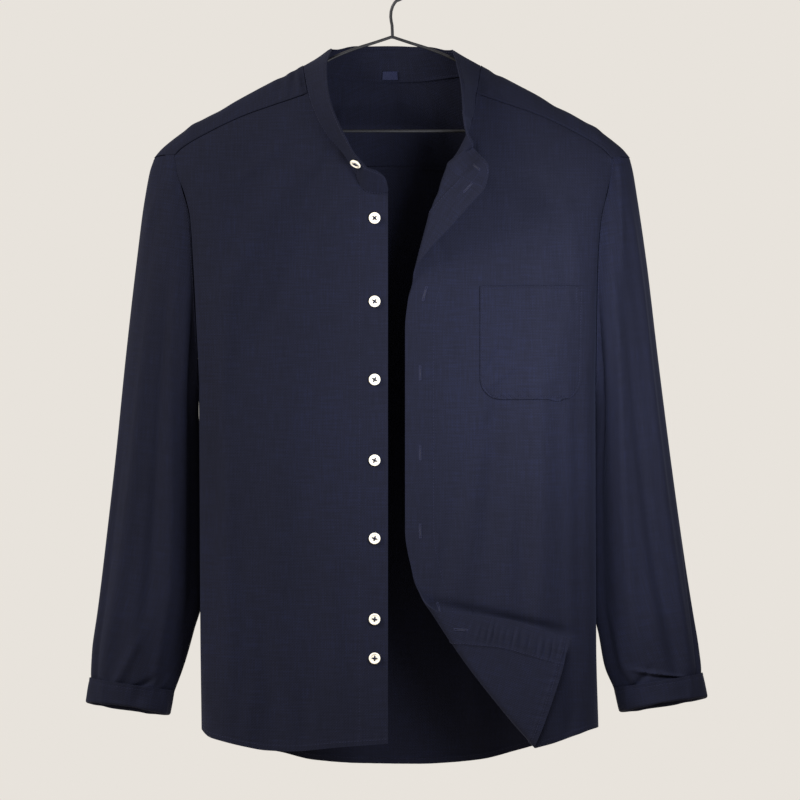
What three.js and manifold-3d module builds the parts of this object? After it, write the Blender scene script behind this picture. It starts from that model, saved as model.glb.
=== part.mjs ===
// Mandarin collar shirt on a wire hanger: open fronts, turned-up cuffs, one lapel and one hem corner turned out.
// Millimetres, +Z up, the shirt faces -Y. The origin is the inner top of the hanger's hook.
// Sides are the wearer's: the right front has the buttons and lies at -X.
import * as THREE from 'three';
import { mergeVertices } from 'three/addons/utils/BufferGeometryUtils.js';
import Module from 'manifold-3d';

// Cloth and seams
const WALL = 1.2;
const SEAM_GAP = 0.3;
const HALF_GAP = SEAM_GAP / 2;

// Hanging body: depth of each half, the drop over which it is reached, and the rounding at the sides
const BODY_DEPTH = 46;
const DEPTH_DROP = 140;
const RIDGE_RADIUS = BODY_DEPTH ** 2 / DEPTH_DROP;
const SIDE_ROUND = 34;
const ARMPIT_Z = -442;
const YOKE_END_Z = -203;
const NECK_CORNER = 88.5;
const GUIDE_OUT = 64;

// Shoulder line, seen from the front: height at each distance out from the middle
const SHOULDER_LINE = [
  { out: 0, z: -62 }, { out: 45, z: -79 }, { out: 92, z: -105.2 }, { out: 125, z: -122.8 },
  { out: 160, z: -141.2 }, { out: 190, z: -157.8 }, { out: 218, z: -175.3 }, { out: 235, z: -188 },
  { out: 244, z: -196 }, { out: 251, z: -204.5 },
];
// Armhole line and side of the body: distance out at each height, for the wearer's right and left
const BODY_EDGE = [
  { z: -803, right: 200.8, left: 217.6 }, { z: -714, right: 202, left: 215.3 },
  { z: -442, right: 203.7, left: 214.4 }, { z: -353, right: 206.9, left: 215 },
  { z: -311, right: 209, left: 216 }, { z: -267, right: 212, left: 219.5 },
  { z: -243, right: 217.4, left: 225 }, { z: -218, right: 225.8, left: 230 },
  { z: -203, right: 228, left: 231 },
];
// How far the armhole's edge stands off the middle plane
const EDGE_DEPTH = [
  { z: -442, depth: 0 }, { z: -420, depth: 9 }, { z: -374, depth: 20 }, { z: -311, depth: 27 },
  { z: -267, depth: 29 }, { z: -225, depth: 27 }, { z: -203, depth: 23.6 }, { z: -190, depth: 60 },
];
// Seam between the yoke and each front
const YOKE_FRONT_SEAM = [
  { out: 88.5, z: -135.5 }, { out: 104, z: -141 }, { out: 122, z: -147 }, { out: 156, z: -159 },
  { out: 192, z: -176 }, { out: 220, z: -192.4 }, { out: 231, z: -203 },
];
// Seam between the yoke and the back
const YOKE_BACK_SEAM = [{ out: 0, z: -214 }, { out: 120, z: -216 }, { out: 222, z: -222 }];
// Neck edge of the yoke, as distance out and distance over the shoulder line, front positive
const YOKE_NECK = [
  { step: 0, out: 88.5, over: 44.4 }, { step: 1, out: 91.5, over: 25 }, { step: 2, out: 93.5, over: 6 },
  { step: 3, out: 92.5, over: -10 }, { step: 4, out: 84, over: -23 }, { step: 5, out: 67, over: -37 },
  { step: 6, out: 36, over: -57.5 }, { step: 7, out: 0, over: -72 },
];
// Rows of the yoke near its neck edge and round the shoulder's ridge
const YOKE_NECK_STEPS = 14;
const YOKE_RIDGE_ROW = 3;
const YOKE_RIDGE_STEP = 9;
const YOKE_EDGE_STEPS = [0, 1, 2, 4, 13];
const YOKE_NOSE_EASE = 1.6;
const YOKE_NOSE_FADE = 0.6;

// Each front as cut: front edge, neck line and hem, with distance out from the middle
const FRONTS = {
  right: {
    sign: -1,
    edge: [{ z: -830, out: 4.2 }, { z: -240, out: 4.2 }],
    neck: [
      { out: 4.2, z: -240.5 }, { out: 16.8, z: -241.5 }, { out: 28.4, z: -239 }, { out: 36, z: -226.5 },
      { out: 44.1, z: -210.5 }, { out: 53.6, z: -196.4 }, { out: 65, z: -183.5 }, { out: 74, z: -170 },
      { out: 82, z: -154.4 }, { out: 88.5, z: -135.5 },
    ],
    hem: [
      { out: 4.2, z: -818 }, { out: 54, z: -821.7 }, { out: 107, z: -826 }, { out: 132, z: -825 },
      { out: 156, z: -820.8 }, { out: 180, z: -815 }, { out: 192, z: -811.5 }, { out: 201, z: -804 },
    ],
    columns: { edge: 5, fold: [12], neck: 3 },
    rows: { armhole: 8, below: 11 },
  },
  left: {
    sign: 1,
    edge: [
      { z: -833, out: 17.4 }, { z: -778, out: 15.8 }, { z: -732, out: 24.2 }, { z: -686, out: 34.6 },
      { z: -640, out: 21.6 }, { z: -594, out: 13.7 }, { z: -384, out: 13.7 }, { z: -353, out: 16.8 },
      { z: -331, out: 21.8 }, { z: -291, out: 15.4 }, { z: -254, out: 6.3 }, { z: -211, out: 1.1 },
    ],
    neck: [
      { out: 1, z: -203.5 }, { out: 26.3, z: -210.5 }, { out: 44.1, z: -213 }, { out: 60.9, z: -209 },
      { out: 68.8, z: -199.5 }, { out: 76, z: -185.9 }, { out: 82.4, z: -170.1 }, { out: 86.6, z: -154.4 },
      { out: 88.5, z: -135.5 },
    ],
    hem: [
      { out: 17, z: -832.7 }, { out: 50, z: -832.9 }, { out: 87, z: -830.7 }, { out: 129, z: -826.4 },
      { out: 164.5, z: -819 }, { out: 192.6, z: -809 }, { out: 207.3, z: -804 }, { out: 217.6, z: -802 },
    ],
    columns: { edge: 4, fold: [17, 12.5, 8.5, 4.5], neck: 5 },
    rows: { armhole: 8, below: 18 },
  },
};
const SHOULDER_COLUMNS = 6;
const ROUNDING_COLUMNS = 4;
const BACK_COLUMNS = 14;
const BACK_ROWS = { armhole: 7, below: 9 };
const BACK_HEM = [
  { x: -201, z: -804 }, { x: -190, z: -812 }, { x: -160, z: -823 }, { x: -117.6, z: -831 },
  { x: -83.5, z: -839 }, { x: -35.7, z: -842.6 }, { x: 29.4, z: -843.4 }, { x: 60, z: -842 },
  { x: 95.6, z: -838.3 }, { x: 132, z: -829 }, { x: 160, z: -821 }, { x: 218, z: -802 },
];

// Where the left front is turned out: the lapel at the neck and the flap at the hem
const LAPEL = {
  from: { x: 75.4, z: -173.3 }, to: { x: 21.8, z: -330.8 }, bow: 5, radius: 4, angle: THREE.MathUtils.degToRad(150),
};
const FLAP = {
  from: { x: 27.3, z: -655.2 }, to: { x: 150.2, z: -821.1 }, bow: 6, radius: 5, angle: THREE.MathUtils.degToRad(177),
};
// Largest soft folds of the body: place, reach down and sideways, and how far they stand out
const BODY_FOLDS = [
  { x: 137, z: -520, tall: 150, wide: 26, out: 4.5, lean: 0.05 },
  { x: 176, z: -560, tall: 190, wide: 15, out: -4, lean: -0.04 },
  { x: 96, z: -600, tall: 120, wide: 22, out: -2.5, lean: 0.08 },
  { x: -150, z: -330, tall: 110, wide: 30, out: 3, lean: -0.35 },
  { x: -120, z: -640, tall: 150, wide: 30, out: 2.5, lean: 0.05 },
];

// Collar band: height, and the way it stands along its seam (0 at the right end, 1 at the left end)
const BAND_HEIGHT = 35;
const BAND_END_ROUND = 13;
const BAND_END_HEIGHT = 0.45;
const BAND_ROWS = 3;
const BAND_SEAM = 0.9;
const BAND_STANCE = [
  { at: 0, x: 0.03, y: -0.72, z: 0.7 }, { at: 0.02, x: 0.07, y: -0.72, z: 0.7 },
  { at: 0.045, x: 0.1, y: -0.74, z: 0.66 }, { at: 0.068, x: 0.1, y: -0.85, z: 0.5 },
  { at: 0.09, x: 0.1, y: -0.93, z: 0.33 }, { at: 0.117, x: 0.19, y: -0.96, z: 0.19 },
  { at: 0.16, x: 0.42, y: -0.9, z: 0.16 }, { at: 0.24, x: 0.6, y: -0.79, z: 0.15 },
  { at: 0.285, x: 0.67, y: -0.7, z: 0.24 }, { at: 0.307, x: 0.75, y: -0.58, z: 0.31 },
  { at: 0.326, x: 0.83, y: -0.08, z: 0.56 }, { at: 0.364, x: 0.68, y: -0.1, z: 0.72 },
  { at: 0.42, x: 0.38, y: -0.1, z: 0.92 }, { at: 0.5, x: 0, y: -0.12, z: 0.99 }, { at: 0.58, x: -0.38, y: -0.1, z: 0.92 },
  { at: 0.64, x: -0.68, y: -0.1, z: 0.72 }, { at: 0.677, x: -0.83, y: -0.08, z: 0.56 },
  { at: 0.696, x: -0.77, y: -0.58, z: 0.29 }, { at: 0.717, x: -0.69, y: -0.7, z: 0.15 },
  { at: 0.761, x: -0.45, y: -0.87, z: 0.2 }, { at: 0.8, x: -0.33, y: -0.94, z: 0.08 },
  { at: 0.832, x: -0.14, y: -0.97, z: 0.2 }, { at: 0.864, x: 0.28, y: -0.82, z: 0.49 },
  { at: 0.893, x: 0.67, y: -0.42, z: 0.6 }, { at: 0.916, x: 0.78, y: -0.2, z: 0.6 }, { at: 0.942, x: 0.68, y: -0.25, z: 0.69 },
  { at: 0.96, x: 0.64, y: -0.23, z: 0.73 }, { at: 0.98, x: 0.5, y: -0.12, z: 0.85 }, { at: 1, x: 0.3, y: -0.05, z: 0.95 },
];

// Sleeves: outer and inner line, half depth and how far back the middle lies, from armhole to cuff
const SLEEVES = {
  right: [
    { step: 0, outerX: 251.3, outerZ: -205, innerX: 204.3, innerZ: -442, depth: 29, back: 0 },
    { step: 1, outerX: 255.5, outerZ: -216, innerX: 206.5, innerZ: -452, depth: 33, back: 3 },
    { step: 2, outerX: 262, outerZ: -251, innerX: 207, innerZ: -472, depth: 37, back: 9 },
    { step: 3, outerX: 270, outerZ: -316, innerX: 205.5, innerZ: -506, depth: 40, back: 18 },
    { step: 4, outerX: 281, outerZ: -414, innerX: 203, innerZ: -556, depth: 42, back: 24 },
    { step: 5, outerX: 291.5, outerZ: -515, innerX: 202, innerZ: -612, depth: 42, back: 25 },
    { step: 6, outerX: 303, outerZ: -612, innerX: 203, innerZ: -664, depth: 40, back: 22 },
    { step: 7, outerX: 311, outerZ: -678, innerX: 212, innerZ: -700, depth: 37, back: 17 },
    { step: 8, outerX: 316.5, outerZ: -722, innerX: 222, innerZ: -735, depth: 31, back: 13 },
    { step: 9, outerX: 317.5, outerZ: -748, innerX: 231.5, innerZ: -761, depth: 26.8, back: 10 },
    { step: 10, outerX: 315.5, outerZ: -761, innerX: 236, innerZ: -773, depth: 25.5, back: 9 },
  ],
  left: [
    { step: 0, outerX: 251.3, outerZ: -205, innerX: 215, innerZ: -442, depth: 29, back: 0 },
    { step: 1, outerX: 254.5, outerZ: -217, innerX: 217, innerZ: -452, depth: 33, back: 3 },
    { step: 2, outerX: 260, outerZ: -251, innerX: 217.5, innerZ: -472, depth: 37, back: 9 },
    { step: 3, outerX: 269, outerZ: -316, innerX: 216, innerZ: -506, depth: 40, back: 18 },
    { step: 4, outerX: 280.5, outerZ: -414, innerX: 213.5, innerZ: -556, depth: 42, back: 24 },
    { step: 5, outerX: 293.5, outerZ: -515, innerX: 213, innerZ: -612, depth: 42, back: 25 },
    { step: 6, outerX: 307.5, outerZ: -612, innerX: 215, innerZ: -672, depth: 40, back: 22 },
    { step: 7, outerX: 317.5, outerZ: -678, innerX: 221.5, innerZ: -706, depth: 37, back: 17 },
    { step: 8, outerX: 323.5, outerZ: -718, innerX: 227.5, innerZ: -738, depth: 31, back: 13 },
    { step: 9, outerX: 326, outerZ: -743, innerX: 235.5, innerZ: -757, depth: 26.8, back: 10 },
    { step: 10, outerX: 324.5, outerZ: -756, innerX: 241, innerZ: -770, depth: 25.5, back: 9 },
  ],
};
const SLEEVE_ROWS = 18;
const SLEEVE_HEAD_BLEND = 0.4;
// Turned-up cuffs: the visible band between its top edge and its fold, and the gap between its two layers
const CUFF_HEIGHT = 27;
const CUFF_LAYERS_APART = 5;
const CUFF_INNER_HEIGHT = 14.5;
const CUFF_FOLD_STEPS = 4;
const CUFF_BACK_DIP = 0.12;

// Chest pocket, on the left front
const POCKET = {
  near: 92.4, far: 199.6, top: -338.6, bottom: -457, corner: 22, lift: 1.1, wall: 1, cornerRows: 4, plainRows: 4,
};

// Buttons: heights down the right front's edge
const BUTTON = { out: 18.4, radius: 6, thick: 2.6, rim: 0.5, dish: 0.6, sides: 12, lift: 0.35 };
const BUTTON_HEIGHTS = [-266.3, -353.2, -435.4, -521.2, -604, -686.9, -727.9];
const COLLAR_BUTTON = { at: 0.08, up: 0.6, lift: 0.9 };
const LABEL = { width: 17, height: 8, wall: 1, up: 2.5 };

// Hanger of bent wire
const WIRE = { radius: 1.6, sides: 8 };
const HOOK_RADIUS = 19.6;
const HOOK_END_ANGLE = THREE.MathUtils.degToRad(205);
const HANGER_NECK_Z = -75;
const CROSSBAR_Z = -174.3;
const HANGER_HALF = 201;

const COLOURS = {
  cloth: { color: 0x1d2140, roughness: 0.85, metalness: 0 },
  clothTurned: { color: 0x262b4d, roughness: 0.85, metalness: 0 },
  button: { color: 0xe9e2d0, roughness: 0.35, metalness: 0 },
  label: { color: 0x1a2250, roughness: 0.6, metalness: 0 },
  wire: { color: 0x151515, roughness: 0.3, metalness: 0.6 },
};

const wasm = await Module();
wasm.setup();
const shirt = new THREE.Group();
const vector = (x, y, z) => new THREE.Vector3(x, y, z);
const { clamp, lerp } = THREE.MathUtils;

// Smooth curve through a table's rows that never overshoots them, level beyond the first and last row.
function through(rows, from, to) {
  const x = rows.map((row) => row[from]);
  const y = rows.map((row) => row[to]);
  const last = x.length - 1;
  const slope = x.slice(1).map((next, i) => (y[i + 1] - y[i]) / (next - x[i]));
  const tangent = x.map((_, i) => {
    if (i === 0 || i === last) return slope[Math.min(i, last - 1)];
    const [before, after] = [slope[i - 1], slope[i]];
    return before * after <= 0 ? 0 : (2 * before * after) / (before + after);
  });
  return (value) => {
    if (value <= x[0]) return y[0];
    if (value >= x[last]) return y[last];
    const i = x.findIndex((_, k) => value <= x[k + 1]);
    const width = x[i + 1] - x[i];
    const t = (value - x[i]) / width;
    const [t2, t3] = [t * t, t * t * t];
    return (2 * t3 - 3 * t2 + 1) * y[i] + (t3 - 2 * t2 + t) * width * tangent[i]
      + (3 * t2 - 2 * t3) * y[i + 1] + (t3 - t2) * width * tangent[i + 1];
  };
}

const shoulderLine = through(SHOULDER_LINE, 'out', 'z');
const edgeDepth = through(EDGE_DEPTH, 'z', 'depth');
const yokeFrontSeam = through(YOKE_FRONT_SEAM, 'out', 'z');
const yokeBackSeam = through(YOKE_BACK_SEAM, 'out', 'z');
const bodyEdge = { right: through(BODY_EDGE, 'z', 'right'), left: through(BODY_EDGE, 'z', 'left') };
const sideOf = (x) => (x < 0 ? 'right' : 'left');

// Height of the broad folds at a place on the body's front or back.
function foldRelief(x, z) {
  return BODY_FOLDS.reduce((sum, fold) => {
    const down = (z - fold.z) / fold.tall;
    const across = (x - fold.x - fold.lean * (z - fold.z)) / fold.wide;
    return sum + fold.out * Math.exp(-down * down - across * across);
  }, 0);
}

// Distance of the body's surface from the middle plane at a place seen from the front.
function bodyDepth(x, z) {
  const drop = clamp((shoulderLine(Math.abs(x)) - z) / DEPTH_DROP, 0, 1);
  const full = BODY_DEPTH * Math.sqrt(1 - (1 - drop) ** 2);
  const inside = clamp((bodyEdge[sideOf(x)](z) - Math.abs(x)) / SIDE_ROUND, 0, 1);
  const rounding = Math.sqrt(1 - (1 - inside) ** 2);
  const edge = Math.min(edgeDepth(z), full);
  return edge + (full - edge + foldRelief(x, z) * drop * inside) * rounding;
}

// The body's surface by distance over the shoulder line: positive runs down the front, negative down the back.
function overShoulder(x, over) {
  const drop = Math.hypot(over, RIDGE_RADIUS) - RIDGE_RADIUS;
  const z = shoulderLine(Math.abs(x)) - drop;
  return vector(x, -Math.sign(over) * bodyDepth(x, z), z);
}
const distanceOver = (out, z) => Math.sqrt((shoulderLine(out) - z + RIDGE_RADIUS) ** 2 - RIDGE_RADIUS ** 2);

// Where a point of the cloth goes when everything past a line is rolled out and turned back towards the viewer.
function turnOut(point, fold) {
  const along = new THREE.Vector2(fold.to.x - fold.from.x, fold.to.z - fold.from.z);
  const length = along.length();
  along.divideScalar(length);
  const away = new THREE.Vector2(along.y, -along.x);
  if (away.x > 0) away.negate();
  const place = new THREE.Vector2(point.x - fold.from.x, point.z - fold.from.z);
  const down = place.dot(along);
  const line = fold.bow * Math.sin(Math.PI * clamp(down / length, 0, 1)) - fold.radius;
  const past = place.dot(away) - line;
  if (past <= 0) return point;
  const rolled = Math.min(past / fold.radius, fold.angle);
  const straight = past - rolled * fold.radius;
  const flat = line + fold.radius * Math.sin(rolled) + straight * Math.cos(rolled);
  const rise = fold.radius * (1 - Math.cos(rolled)) + straight * Math.sin(rolled);
  return vector(
    fold.from.x + along.x * down + away.x * flat,
    point.y - rise,
    fold.from.z + along.y * down + away.y * flat,
  );
}

const surfaces = {
  front: (x, z) => vector(x, -bodyDepth(x, z), z),
  back: (x, z) => vector(x, bodyDepth(x, z), z),
  turned: (x, z) => turnOut(turnOut(surfaces.front(x, z), LAPEL), FLAP),
};

// Point and outward normal of a surface given by two coordinates.
function pointWithNormal(surface, a, b, facing) {
  const step = 0.4;
  const alongA = surface(a + step, b).sub(surface(a - step, b));
  const alongB = surface(a, b + step).sub(surface(a, b - step));
  const normal = alongA.cross(alongB).normalize().multiplyScalar(facing);
  return { point: surface(a, b), normal };
}

// Adds a named closed mesh whose faces point out.
function addMesh(name, points, triangles, look) {
  let volume = 0;
  for (const [a, b, c] of triangles) volume += points[a].dot(vector(0, 0, 0).crossVectors(points[b], points[c]));
  const outward = volume > 0 ? triangles : triangles.map(([a, b, c]) => [a, c, b]);
  const geometry = new THREE.BufferGeometry();
  geometry.setAttribute('position', new THREE.Float32BufferAttribute(points.flatMap((p) => p.toArray()), 3));
  geometry.setIndex(outward.flat());
  geometry.computeVertexNormals();
  const mesh = new THREE.Mesh(geometry, new THREE.MeshStandardMaterial(look));
  mesh.name = name;
  shirt.add(mesh);
}

// A cloth wall from a grid of points with normals: the grid is its right side, and the wall lies behind it.
function addCloth(name, grid, { wall = WALL, ring = false, look = COLOURS.cloth } = {}) {
  const rows = grid.length;
  const columns = grid[0].length;
  const face = grid.flat();
  const behind = face.map(({ point, normal }) => point.clone().addScaledVector(normal, -wall));
  const points = [...face.map(({ point }) => point), ...behind];
  const at = (row, column, layer) => layer * rows * columns + row * columns + (column % columns);
  const triangles = [];
  const quad = (a, b, c, d) => triangles.push([a, b, c], [a, c, d]);
  const across = ring ? columns : columns - 1;
  for (let r = 0; r < rows - 1; r += 1) {
    for (let c = 0; c < across; c += 1) {
      quad(at(r, c, 0), at(r, c + 1, 0), at(r + 1, c + 1, 0), at(r + 1, c, 0));
      quad(at(r + 1, c, 1), at(r + 1, c + 1, 1), at(r, c + 1, 1), at(r, c, 1));
    }
  }
  for (let c = 0; c < across; c += 1) {
    quad(at(0, c + 1, 0), at(0, c, 0), at(0, c, 1), at(0, c + 1, 1));
    quad(at(rows - 1, c, 0), at(rows - 1, c + 1, 0), at(rows - 1, c + 1, 1), at(rows - 1, c, 1));
  }
  if (!ring) {
    for (let r = 0; r < rows - 1; r += 1) {
      quad(at(r, 0, 0), at(r + 1, 0, 0), at(r + 1, 0, 1), at(r, 0, 1));
      quad(at(r + 1, across, 0), at(r, across, 0), at(r, across, 1), at(r + 1, across, 1));
    }
  }
  addMesh(name, points, triangles, look);
}

// Normals of a grid of plain points, taken from the points around each one.
function withNormals(points, facing, ring = false) {
  const rows = points.length;
  const columns = points[0].length;
  const pick = (r, c) => points[clamp(r, 0, rows - 1)][ring ? (c + columns) % columns : clamp(c, 0, columns - 1)];
  return points.map((row, r) => row.map((point, c) => {
    const down = pick(r + 1, c).clone().sub(pick(r - 1, c));
    const across = pick(r, c + 1).clone().sub(pick(r, c - 1));
    return { point, normal: across.cross(down).normalize().multiplyScalar(facing) };
  }));
}

// Stations along a body edge: evenly down to the armpit, then evenly to the hem.
function edgeStations(top, bottom, { armhole, below }) {
  const armpit = (ARMPIT_Z - top) / (bottom - top);
  const upper = Array.from({ length: armhole }, (_, i) => (armpit * i) / armhole);
  const lower = Array.from({ length: below + 1 }, (_, i) => lerp(armpit, 1, i / below));
  return [...upper, ...lower];
}
const roundingSteps = Array.from({ length: ROUNDING_COLUMNS + 1 }, (_, i) => {
  const turn = (Math.PI / 2) * (1 - i / ROUNDING_COLUMNS);
  return SIDE_ROUND * (1 - Math.cos(turn));
});

// Shared stations of the shoulder seam, from the neck's corner to the armhole.
function shoulderStations(side) {
  const end = bodyEdge[side](YOKE_END_Z);
  const plain = Array.from({ length: SHOULDER_COLUMNS }, (_, i) => (
    lerp(NECK_CORNER, end - SIDE_ROUND, i / SHOULDER_COLUMNS)));
  return [...plain, ...roundingSteps.map((inward) => end - inward)];
}

// Height at which a column, given by its distance out at each height, meets a line given by height at distance out.
function meet(column, line, start) {
  let z = start;
  for (let i = 0; i < 60; i += 1) z = lerp(z, line(column(z)), 0.4);
  return z;
}

// One front, as a grid of places (distance out, height) from its front edge to its side.
function frontPlaces(side) {
  const cut = FRONTS[side];
  const edge = through(cut.edge, 'z', 'out');
  const neck = through(cut.neck, 'out', 'z');
  const hem = through(cut.hem, 'out', 'z');
  const top = (out) => (out < NECK_CORNER ? neck(out) : yokeFrontSeam(out)) - HALF_GAP;
  const foldLine = (fold, z) => lerp(fold.from.x, fold.to.x, (z - fold.from.z) / (fold.to.z - fold.from.z));
  const deepest = Math.max(...cut.columns.fold);
  const guide = (z) => {
    if (side === 'right') return GUIDE_OUT;
    const wanted = z > FLAP.from.z ? Math.min(foldLine(LAPEL, z) + LAPEL.radius, GUIDE_OUT) : foldLine(FLAP, z);
    return Math.max(wanted, edge(z) + deepest + 7);
  };
  const body = (z) => bodyEdge[side](z) - SIDE_ROUND;
  const endTop = bodyEdge[side](YOKE_END_Z);
  const columns = [];
  for (let i = 0; i <= cut.columns.edge; i += 1) {
    columns.push((z) => lerp(edge(z), guide(z) - deepest, i / cut.columns.edge));
  }
  for (const inward of cut.columns.fold.slice(1)) columns.push((z) => guide(z) - inward);
  for (let i = 0; i < cut.columns.neck; i += 1) {
    const share = ((NECK_CORNER - GUIDE_OUT) * i) / cut.columns.neck / (endTop - SIDE_ROUND - GUIDE_OUT);
    columns.push((z) => lerp(guide(z), body(z), share));
  }
  for (const out of shoulderStations(side)) {
    const share = (out - GUIDE_OUT) / (endTop - SIDE_ROUND - GUIDE_OUT);
    const inward = endTop - out;
    columns.push(share < 1 ? (z) => lerp(guide(z), body(z), share) : (z) => bodyEdge[side](z) - inward);
  }
  const neckColumns = columns.length - shoulderStations(side).length;
  const ends = columns.map((column) => ({
    top: meet(column, top, top(NECK_CORNER)),
    bottom: meet(column, (out) => hem(out), hem(0)),
  }));
  const sideEnds = ends[ends.length - 1];
  const stations = edgeStations(sideEnds.top, sideEnds.bottom, cut.rows);
  const places = stations.map((share) => columns.map((column, i) => {
    const z = lerp(ends[i].top, ends[i].bottom, share);
    return { out: column(z), z };
  }));
  return { places, neckColumns, sign: cut.sign };
}

// The side seam and armhole are half a seam gap short of the true edge.
function frontGrid(side, surface) {
  const { places, sign } = frontPlaces(side);
  return places.map((row) => row.map(({ out, z }, i) => {
    const inset = i === row.length - 1 ? 0.02 : 0;
    const sample = pointWithNormal(surface, sign * (out - inset), z, 1);
    if (sample.normal.y > 0 && surface === surfaces.front) sample.normal.negate();
    if (i === row.length - 1) {
      sample.normal.set(sign, 0, 0);
      if (z <= ARMPIT_Z) sample.point.y = -HALF_GAP;
    }
    return sample;
  }));
}
const frontGrids = {
  right: frontGrid('right', surfaces.front),
  left: frontGrid('left', surfaces.turned),
};
addCloth('right_front', frontGrids.right);
addCloth('left_front', frontGrids.left);

// Back: plain panel below the yoke, with the same rounding at its sides.
const backHem = through(BACK_HEM, 'x', 'z');
const backEnds = ['right', 'left'].map((side) => ({ side, sign: side === 'right' ? -1 : 1 }));
const backColumns = (() => {
  const inner = Array.from({ length: BACK_COLUMNS - 1 }, (_, i) => (i + 1) / BACK_COLUMNS);
  const rounded = (side, sign) => roundingSteps.map((inward) => (z) => sign * (bodyEdge[side](z) - inward));
  const from = (z) => -(bodyEdge.right(z) - SIDE_ROUND);
  const to = (z) => bodyEdge.left(z) - SIDE_ROUND;
  return [
    ...rounded('right', -1).reverse(), ...inner.map((share) => (z) => lerp(from(z), to(z), share)),
    ...rounded('left', 1),
  ];
})();
const backTops = backColumns.map((column) => meet((z) => Math.abs(column(z)), yokeBackSeam, -216));
const backBottoms = backColumns.map((column) => meet(column, backHem, -820));
const backStations = edgeStations(backTops[0], backBottoms[0], BACK_ROWS);
const backGrid = backStations.map((share) => backColumns.map((column, i) => {
  const z = lerp(backTops[i] - HALF_GAP, backBottoms[i], share);
  const last = i === backColumns.length - 1;
  const sample = pointWithNormal(surfaces.back, column(z), z, -1);
  if (sample.normal.y < 0) sample.normal.negate();
  if (i === 0 || last) {
    sample.normal.set(last ? 1 : -1, 0, 0);
    if (z <= ARMPIT_Z) sample.point.y = HALF_GAP;
  }
  return sample;
}));
addCloth('back', backGrid);

// Yoke: from the front seams and the neck edge over the shoulders to the back seam.
const yokeOver = { front: (out) => distanceOver(out, yokeFrontSeam(out) + HALF_GAP) };
const neckOut = through(YOKE_NECK, 'step', 'out');
const neckOver = through(YOKE_NECK, 'step', 'over');
const yokeTopRight = [
  ...shoulderStations('right').reverse().map((out) => ({ out, over: yokeOver.front(out), seam: true })),
  ...Array.from({ length: YOKE_NECK_STEPS }, (_, i) => {
    const step = ((i + 1) / YOKE_NECK_STEPS) * (YOKE_NECK.length - 1);
    return { out: neckOut(step), over: neckOver(step) };
  }),
];
const yokeTopLeft = [
  ...yokeTopRight.slice(shoulderStations('right').length, -1).reverse(),
  ...shoulderStations('left').map((out) => ({ out, over: yokeOver.front(out), seam: true })),
];
const yokeTop = [
  ...yokeTopRight.map(({ out, over }) => ({ x: -out, over })),
  ...yokeTopLeft.map(({ out, over }) => ({ x: out, over })),
];
const yokeMiddle = yokeTopRight.length - 1;
const backSeamX = backTops.map((z, i) => backColumns[i](z));
// Distances over the shoulder line down one column of the yoke: closer together round the ridge, where it crosses it.
function yokeRows(top, bottom) {
  const near = Math.min(YOKE_RIDGE_STEP, top * 0.5);
  const upper = top > 0
    ? [top, lerp(top, near, 0.5), near, 0, -YOKE_RIDGE_STEP]
    : YOKE_EDGE_STEPS.map((step) => top - step);
  return [...upper, ...[1, 2, 3].map((i) => lerp(upper[upper.length - 1], bottom, i / 3))];
}
// Along the armhole the yoke ends on a rounded nose that reaches the shoulder's tip.
function yokeNose(side) {
  const seam = bodyEdge[side](YOKE_END_Z);
  const from = yokeOver.front(seam);
  const backZ = backTops[side === 'right' ? 0 : backTops.length - 1] + HALF_GAP;
  const backOut = bodyEdge[side](backZ);
  const to = -distanceOver(backOut, backZ);
  const tip = SHOULDER_LINE[SHOULDER_LINE.length - 1].out - 1;
  const nose = (over) => lerp(tip, over > 0 ? seam : backOut, Math.min(1, over > 0 ? over / from : over / to) ** YOKE_NOSE_EASE);
  return { overs: yokeRows(from, to), nose, from, to, seam, backOut };
}
const noses = { right: yokeNose('right'), left: yokeNose('left') };
const yokeColumns = yokeTop.map(({ x, over }, i) => {
  const side = i <= yokeMiddle ? 'right' : 'left';
  const sign = side === 'right' ? -1 : 1;
  const { overs, nose, from, to, seam, backOut } = noses[side];
  if (i === 0 || i === yokeTop.length - 1) return overs.map((place) => ({ x: sign * nose(place), over: place }));
  const seamIndex = (i / (yokeTop.length - 1)) * (backSeamX.length - 1);
  const lower = Math.floor(seamIndex);
  const seamX = lerp(backSeamX[lower], backSeamX[Math.min(lower + 1, backSeamX.length - 1)], seamIndex - lower);
  const bottom = -distanceOver(Math.abs(seamX), yokeBackSeam(Math.abs(seamX)) + HALF_GAP);
  const fromEnd = Math.min(i, yokeTop.length - 1 - i);
  return yokeRows(over, bottom).map((place) => {
    const share = (over - place) / (over - bottom);
    const bulge = nose(place) - lerp(seam, backOut, clamp((from - place) / (from - to), 0, 1));
    return { x: lerp(x, seamX, share) + sign * bulge * YOKE_NOSE_FADE ** fromEnd, over: place };
  });
});
const yokePoints = yokeColumns[0].map((_, row) => yokeColumns.map((column) => column[row]));
const yokeGrid = yokePoints.map((row) => row.map(({ x, over }) => {
  const clear = Math.abs(over) < 0.5 ? 0.5 * (over < 0 ? -1 : 1) : over;
  return pointWithNormal(overShoulder, x, clear, 1);
}));
for (const sample of yokeGrid.flat()) {
  const outward = vector(0, sample.point.y, 12);
  if (sample.normal.dot(outward) < 0) sample.normal.negate();
}
addCloth('yoke', yokeGrid);

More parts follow.
